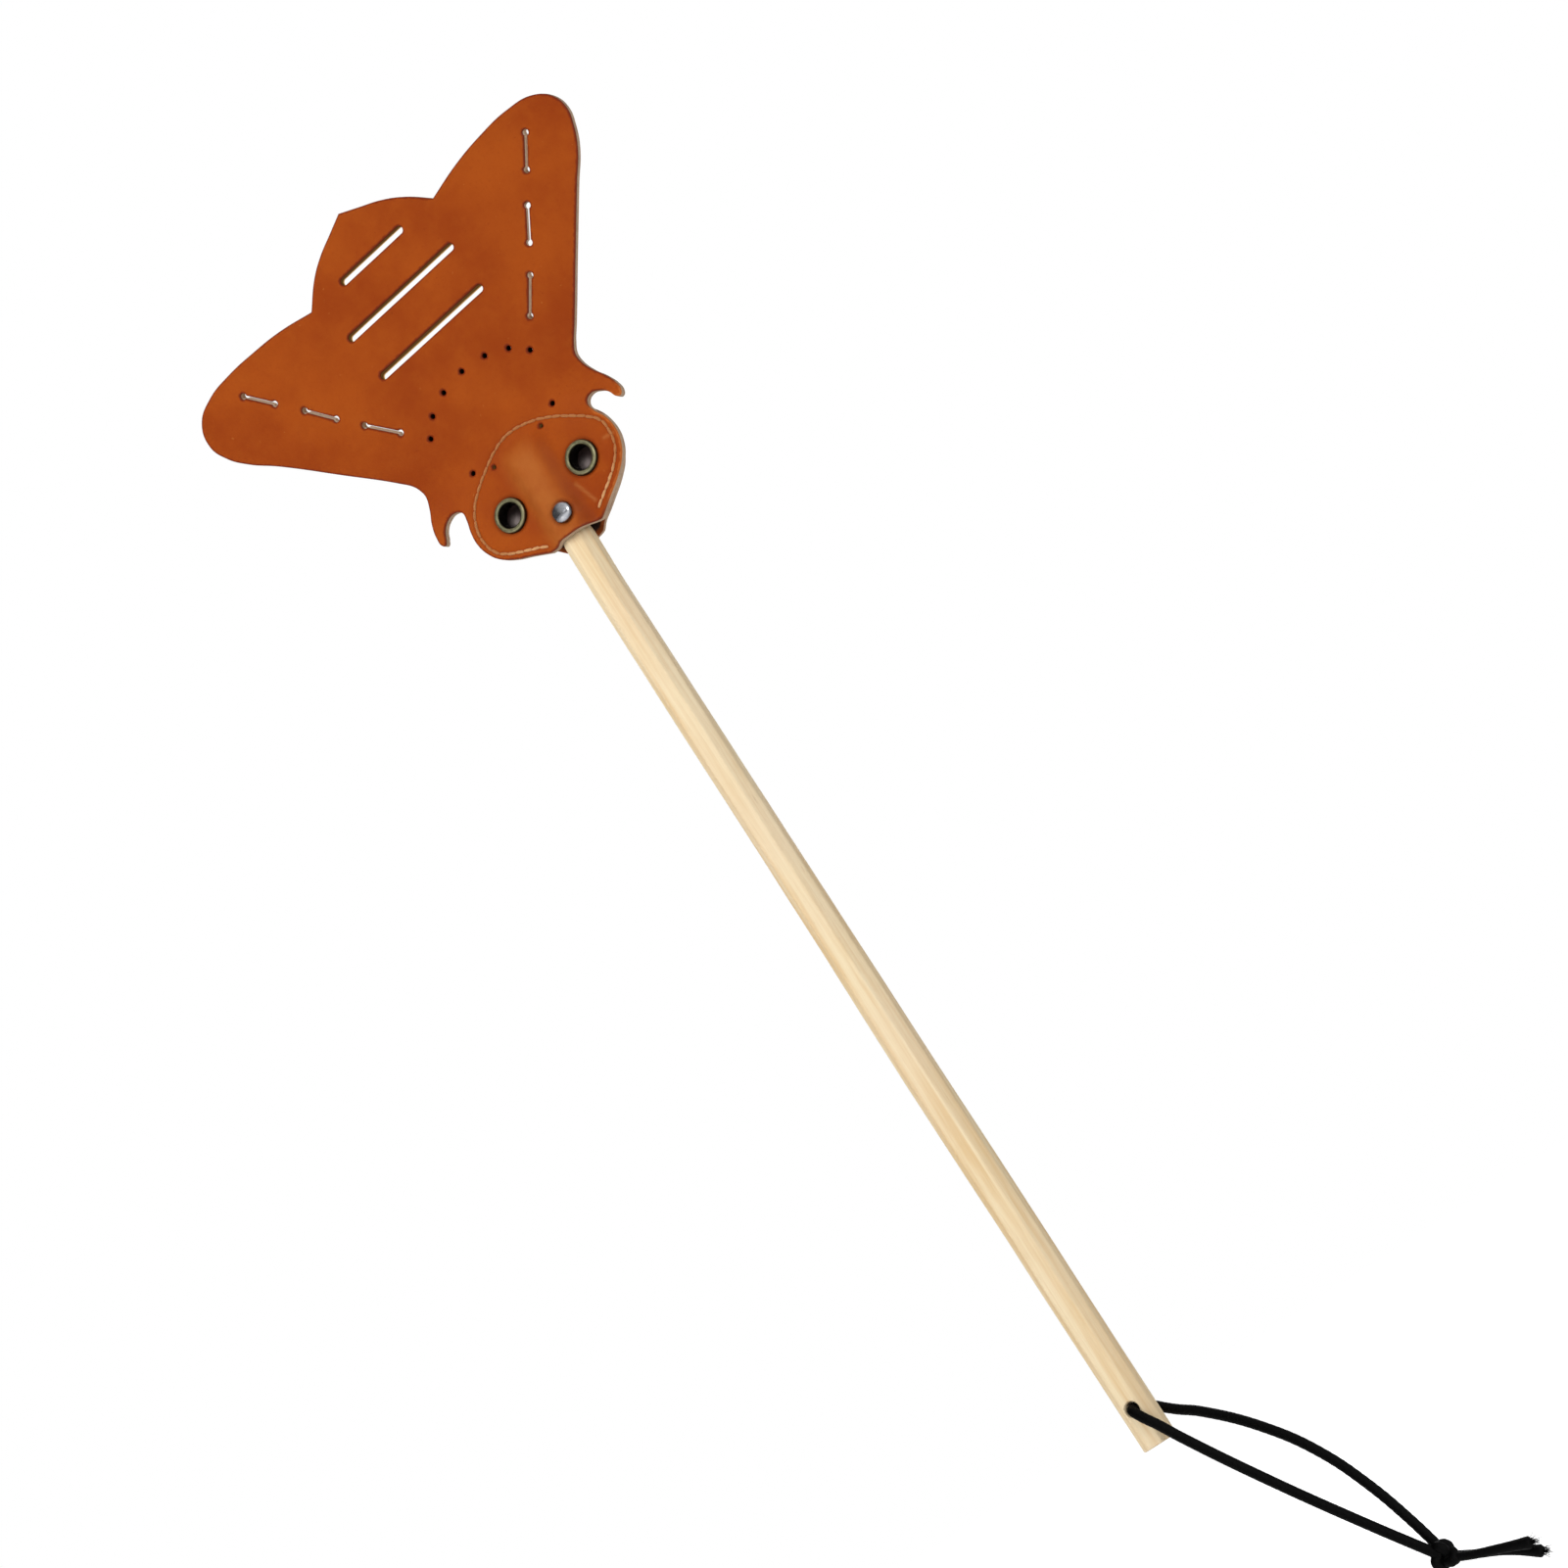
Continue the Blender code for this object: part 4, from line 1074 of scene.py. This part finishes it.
def grain_material():
    """Orange-brown smooth leather with soft mottling, fine pores, scuffs and burnished cut edges, with
    painted highlights on the bulge, the creases and the head's lower right edge, and painted shade in the
    seam groove and around the metal.
    """
    g = material_graph("leather_grain")
    flat = g.coordinates(attribute="flat")
    patches = g.noise(9, flat, 4, 0.6)
    scuffs = g.noise(3.2, g.coordinates((1, 6, 1), "flat"), 5, 0.7, 0.8)
    flecks = g.noise(1.7, flat, 2, 0.5)
    g.base(g.noise(34, flat, 4, 0.55), 0.3, 0.7, (141, 58, 13), (160, 74, 20))
    g.tint(patches, 0.45, 0.75, (164, 80, 24), 0.30)
    g.tint(g.noise(1.1, flat, 3, 0.6), 0.5, 0.8, (128, 50, 12), 0.25)
    g.tint(scuffs, 0.66, 0.80, (178, 104, 48), 0.30)
    g.tint(flecks, 0.70, 0.80, (176, 104, 50), 0.4)
    g.tint(flecks, 0.30, 0.20, (110, 40, 10), 0.35)
    # Painted highlight on the bulge, broken up by the mottling.
    highlight_mottle = g.span(patches, 0.25, 0.65, 0.45, 0.8)
    g.cover(g.math("MULTIPLY", g.value("painted_crest_highlight"), highlight_mottle), (172, 98, 44))
    # Painted highlight: a thin lit line along each crease.
    g.cover(g.value("painted_crease_highlight"), (184, 118, 66), 0.4)
    # Burnished dark band along the cut edges; on the head's lower right it is a painted highlight instead.
    wander = g.span(g.noise(1.6, flat), 0.3, 0.7, -0.18, 0.18)
    burnish_and_edge_highlight = g.span(g.math("ADD", g.value("edge_mm"), wander), 0.25, 0.75, 1.0, 0.0)
    g.cover(burnish_and_edge_highlight, g.mix(g.value("painted_edge_highlight"), (112, 38, 14), (190, 104, 46)), 0.75)
    # Painted shade in the stitched groove.
    g.tint(g.value("seam_mm"), 1.1, 0.3, (112, 42, 12), 0.2)
    # Painted shade in the pressed dip around the eyelets and the rivet.
    g.tint(g.value("metal_mm"), 1.4, 0.1, (110, 42, 16), 0.45)
    g.bump(g.cells(0.55, flat), 0.05, 0.35)
    g.bump(g.noise(0.35, flat, 4, 0.65), 0.03, 0.30)
    g.bump(g.noise(2.6, flat, 5, 0.62), 0.16, 0.30)
    roughness = g.math("ADD", g.span(patches, 0.3, 0.7, 0.44, 0.56), g.math("MULTIPLY", burnish_and_edge_highlight, -0.08))
    return g.finish(roughness, Specular_IOR_Level=0.16)


def cut_edge_material():
    """Raw cut wall of the hide: pale fibres outside, painted shade inside punched holes, painted light in the
    slits, a painted highlight along the slots' backs, dyed next to the grain except for a painted highlight
    on the head's lower right.
    """
    g = material_graph("leather_cut_edge")
    flat = g.coordinates((1, 1, 3), "flat")
    fibres = g.noise(0.5, flat, 4, 0.7)
    dark, through, highlight_share = g.value("painted_wall_shade"), g.value("through"), g.value("painted_edge_highlight")
    g.base(fibres, 0.3, 0.7, (164, 132, 106), (200, 176, 150))
    g.tint(g.noise(4.0, flat, 3, 0.6), 0.4, 0.7, (130, 104, 94), 0.4)
    # Painted light on the slit walls, then painted shade deepening to near black in slots and dots.
    g.tint(dark, 0.0, SLIT_LOOK, (222, 200, 178))
    g.tint(dark, SLIT_LOOK, INNER_DOT_LOOK, (140, 108, 62))
    g.tint(dark, 0.68, SLOT_LOOK, (120, 86, 44))
    g.tint(dark, 0.85, DOT_LOOK, (14, 8, 5))
    # Painted highlight: a lit yellow line along the back edge of each slot's wall.
    lit_slot_walls = g.math("MULTIPLY", g.span(dark, 0.6, SLOT_LOOK), g.span(dark, METAL_HOLE_LOOK, 0.85))
    g.cover(g.math("MULTIPLY", g.span(through, 0.6, 0.95), lit_slot_walls), (255, 206, 120))
    g.cover(g.value("pale_end"), (178, 146, 118))
    # Dye on the wall next to the grain; on the head's lower right it is a painted highlight instead.
    dye_and_edge_highlight = g.span(through, 0.04, g.span(highlight_share, 0.0, 1.0, 0.26, 0.15), 1.0, 0.0)
    g.cover(dye_and_edge_highlight, g.mix(highlight_share, (84, 30, 12), (206, 122, 58)), 0.85)
    g.bump(fibres, 0.12, 0.6)
    return g.finish(0.88, Specular_IOR_Level=0.1)


def flesh_material(name, pale, dark):
    """Flesh side of the hide: matt, fibrous and slightly fuzzy."""
    g = material_graph(name)
    flat = g.coordinates(attribute="flat")
    nap = g.noise(0.7, flat, 5, 0.75)
    strands = g.noise(1.4, g.coordinates((1, 5, 1), "flat"), 4, 0.7, 1.2)
    g.base(g.noise(22, flat, 4, 0.6), 0.3, 0.7, dark, pale)
    g.tint(nap, 0.35, 0.7, pale, 0.4)
    g.tint(strands, 0.55, 0.75, dark, 0.35)
    g.tint(g.value("edge_mm"), 0.7, 0.1, (120, 84, 62), 0.5)
    g.bump(nap, 0.16, 0.6)
    g.bump(strands, 0.18, 0.45)
    return g.finish(0.95, Sheen_Weight=0.35, Sheen_Roughness=0.5, Specular_IOR_Level=0.15)


def lining_material():
    """Grain side of the patch, turned inwards: brown at its rim, with painted shade inside, and a painted
    pool of light where light through each eye falls.
    """
    g = material_graph("patch_lining")
    flat = g.coordinates(attribute="flat")
    # Painted shade over the inner face, with the leather's own brown left at the rim.
    g.base(g.noise(3.0, flat, 4, 0.6), 0.3, 0.7, (40, 28, 25), (66, 50, 47))
    g.tint(g.value("edge_mm"), 1.9, 1.0, (148, 76, 36))
    # Painted pool of light where light through each eye falls.
    g.cover(g.value("eye_light"), (214, 196, 192))
    g.bump(g.noise(0.6, flat, 4, 0.65), 0.06, 0.4)
    return g.finish(0.6, Specular_IOR_Level=0.2)


def thread_material():
    g = material_graph("waxed_thread")
    place = g.coordinates()
    plies = g.noise(0.3, place, 3, 0.6)
    g.base(plies, 0.3, 0.7, (158, 94, 44), (180, 118, 64))
    g.tint(g.noise(5.0, place, 3, 0.5), 0.45, 0.7, (166, 98, 46), 0.5)
    g.cover(g.value("near_end"), (212, 160, 106), 0.75)
    g.bump(plies, 0.05, 0.6)
    return g.finish(0.62, Sheen_Weight=0.2)


def brass_material():
    """Antique brass: light worn crown on the bead, green-black patina outside and in the barrel."""
    g = material_graph("antique_brass")
    place = g.coordinates()
    stain = g.noise(1.3, place, 5, 0.65)
    radius = g.value("radius_mm")
    crown = g.math("MULTIPLY", g.span(radius, 3.95, 4.55), g.span(radius, 5.65, 5.1))
    worn = g.math("MULTIPLY", crown, g.span(stain, 0.25, 0.6, 0.55, 1.0))
    g.colour = g.mix(worn, (40, 37, 26), (168, 164, 126))
    g.tint(radius, 3.95, 3.75, (26, 20, 18))
    g.bump(g.noise(0.5, place, 4, 0.6), 0.03, 0.4)
    return g.finish(g.span(stain, 0.3, 0.7, 0.30, 0.48), Metallic=0.85)


def nickel_material():
    g = material_graph("nickel_plate")
    scratches = g.noise(0.5, g.coordinates((1, 1, 5)), 3, 0.6)
    g.base(g.noise(1.6, g.coordinates(), 4, 0.6), 0.3, 0.7, (176, 178, 186), (208, 210, 214))
    # Painted shade: the dome darkens towards its rim.
    g.tint(g.value("radius_mm"), 2.8, 3.4, (72, 74, 80), 0.75)
    g.bump(scratches, 0.004, 0.3)
    return g.finish(g.span(scratches, 0.3, 0.7, 0.14, 0.22), Metallic=1.0)


def wood_material():
    """Pale shaved wood with fine grain along the stick and a few darker lines."""
    g = material_graph("pale_wood")
    grain = g.noise(0.5, g.coordinates((1, 1, 0.03)), 4, 0.65)
    bands = g.noise(2.4, g.coordinates((1, 1, 0.035)), 5, 0.6, 0.4)
    g.base(bands, 0.3, 0.72, (238, 219, 182), (222, 190, 142))
    g.tint(grain, 0.5, 0.8, (206, 168, 116), 0.45)
    g.tint(g.noise(0.9, g.coordinates((1, 1, 0.12)), 3, 0.6), 0.66, 0.8, (184, 144, 98), 0.5)
    g.tint(g.noise(60, g.coordinates(), 3, 0.5), 0.4, 0.65, (232, 208, 176), 0.35)
    g.bump(grain, 0.05, 0.5)
    g.bump(g.noise(7, g.coordinates((1, 1, 0.25)), 2, 0.5), 0.25, 0.35)
    return g.finish(g.span(grain, 0.3, 0.7, 0.48, 0.62), Specular_IOR_Level=0.4)


def end_grain_material():
    g = material_graph("wood_end_grain")
    place = g.coordinates()
    pores = g.noise(0.35, place, 4, 0.7)
    wave = {"Scale": 420.0, "Distortion": 2.0, "Detail": 2.0, "Vector": place}
    rings = g.add("ShaderNodeTexWave", wave).outputs["Fac"]
    g.base(rings, 0.2, 0.8, (214, 184, 138), (190, 154, 108))
    g.tint(pores, 0.5, 0.75, (150, 112, 72), 0.6)
    g.bump(pores, 0.08, 0.7)
    return g.finish(0.8)


def cord_material():
    """Black braided sheath with a dull sheen on its raised strands."""
    g = material_graph("black_braid")
    place = g.coordinates()
    yarn = g.noise(0.22, place, 4, 0.7)
    g.base(yarn, 0.35, 0.75, (2, 2, 2), (7, 7, 7))
    g.tint(g.noise(6.0, place, 3, 0.5), 0.5, 0.75, (13, 12, 12), 0.3)
    g.bump(yarn, 0.06, 0.7)
    return g.finish(0.62, Specular_IOR_Level=0.10)


def floor_material():
    """White floor that the camera sees as bright as the backdrop, apart from soft shadows."""
    g = material_graph("pale_floor")
    patches = g.noise(400, g.coordinates(), 2, 0.5)
    g.base(patches, 0.3, 0.7, (243, 243, 243), (248, 248, 248))
    seen = g.add("ShaderNodeLightPath").outputs["Is Camera Ray"]
    return g.finish(g.span(patches, 0.3, 0.7, 0.88, 0.94), Specular_IOR_Level=0.0,
                    Emission_Color=(1, 1, 1, 1), Emission_Strength=g.math("MULTIPLY", seen, 0.75))


# ================================================================ stage
CAMERA_AZIMUTH = math.radians(21.52)
CAMERA_ELEVATION = math.radians(-13.69)
CAMERA_ROLL = math.radians(32.91)
CAMERA_AIM = Vector((0.0127, 0.0, 0.2194))
CAMERA_DISTANCE = 0.878
CAMERA_LENS = 67.46
LAMP_AIM = Vector((0.0, 0.0, 0.33))
LAMPS = (("key", (-0.55, -1.15, 1.05), 0.9, 15.0), ("fill", (1.2, -0.8, 0.35), 0.7, 4.5),
         ("back", (-0.3, 1.3, 0.9), 1.0, 7.0))    # name, place, size and power
BRIGHT_SIDE = (0.86, -0.35, 0.37)   # where the room seen in the metal is brightest
WINDOW = (0.26, -0.944, -0.208)     # where a window is seen in it
ROOM_LIGHT = 0.46
FLOOR_DROP = 12.0                   # mm under the object
FLOOR_HALF = 40000.0


def add_camera():
    """Camera to the right of the blade's front and below it, rolled about its line of sight."""
    level = Vector((math.cos(CAMERA_AZIMUTH), math.sin(CAMERA_AZIMUTH), 0))
    flat = math.cos(CAMERA_ELEVATION)
    back = Vector((math.sin(CAMERA_AZIMUTH) * flat, -math.cos(CAMERA_AZIMUTH) * flat,
                   math.sin(CAMERA_ELEVATION)))
    upright = back.cross(level)
    right = math.cos(CAMERA_ROLL) * level - math.sin(CAMERA_ROLL) * upright
    up = math.sin(CAMERA_ROLL) * level + math.cos(CAMERA_ROLL) * upright
    data = bpy.data.cameras.new("camera")
    data.lens = CAMERA_LENS
    data.sensor_width = 36.0
    data.clip_start = 0.01
    data.clip_end = 200.0
    camera = bpy.data.objects.new("camera", data)
    bpy.context.collection.objects.link(camera)
    turn = Matrix((right, up, back)).transposed().to_4x4()
    camera.matrix_world = Matrix.Translation(CAMERA_AIM + back * CAMERA_DISTANCE) @ turn
    bpy.context.scene.camera = camera


def add_lamps():
    """Three soft round lamps. The key lamp is not seen in the metal."""
    for name, place, size, power in LAMPS:
        data = bpy.data.lights.new(name, "AREA")
        data.shape = "DISK"
        data.size = size
        data.energy = power
        lamp = bpy.data.objects.new(name, data)
        bpy.context.collection.objects.link(lamp)
        lamp.location = place
        lamp.rotation_mode = "QUATERNION"
        lamp.rotation_quaternion = (LAMP_AIM - Vector(place)).to_track_quat("-Z", "Y")
        lamp.visible_glossy = name != "key"


def add_world():
    """White backdrop. It lights the object softly, and shows in the metal as a room with a window."""
    world = bpy.data.worlds.new("white_room")
    bpy.context.scene.world = world
    g = Graph(world)
    g.tree.nodes.clear()
    rays = g.add("ShaderNodeLightPath").outputs
    place = g.add("ShaderNodeTexCoord").outputs["Generated"]

    def facing(direction):
        inputs = {0: place, 1: direction}
        return g.add("ShaderNodeVectorMath", inputs, operation="DOT_PRODUCT").outputs["Value"]

    room = g.span(facing(BRIGHT_SIDE), -0.1, 0.95, 0.10, 0.90, smooth=False)
    window = g.span(facing(WINDOW), 0.945, 0.98, 0.0, 2.4, smooth=False)
    shown = g.math("ADD", room, window)
    strength = g.add("ShaderNodeMix", {0: rays["Is Glossy Ray"], 2: ROOM_LIGHT, 3: shown}).outputs[0]
    felt = g.add("ShaderNodeBackground", {"Strength": strength}).outputs[0]
    seen = g.add("ShaderNodeBackground", {"Color": (1, 1, 1, 1)}).outputs[0]
    blend = g.add("ShaderNodeMixShader", {0: rays["Is Camera Ray"], 1: felt, 2: seen}).outputs[0]
    g.add("ShaderNodeOutputWorld", {0: blend})


def add_floor():
    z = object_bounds()[0].z / MM - FLOOR_DROP
    corners = [(x * FLOOR_HALF, y * FLOOR_HALF, z) for x, y in ((-1, -1), (1, -1), (1, 1), (-1, 1))]
    floor = mesh_object("floor", corners, [(0, 1, 2, 3)], smooth=False)
    floor.data.materials.append(floor_material())


def build_stage():
    bpy.context.scene.view_settings.view_transform = "Standard"
    add_world()
    add_floor()
    add_camera()
    add_lamps()


def build_object():
    edge = cut_edge_material()
    flesh = flesh_material("leather_flesh", (176, 146, 124), (140, 110, 94))
    suede = flesh_material("suede", (168, 148, 142), (128, 108, 106))
    make_front_leather([grain_material(), edge, flesh])
    make_back_patch([lining_material(), edge, suede])
    thread = thread_material()
    make_stitches("needle_stitches", "needle_thread", FRONT_FACE + 0.34, -1, thread)
    make_stitches("bobbin_stitches", "bobbin_thread", PATCH_MIDDLE + PATCH / 2 - 0.3, 1, thread)
    make_eyelets(brass_material())
    make_rivet(nickel_material())
    make_stick(wood_material(), end_grain_material())
    make_cord(cord_material(), cord_material())


build_object()
build_stage()
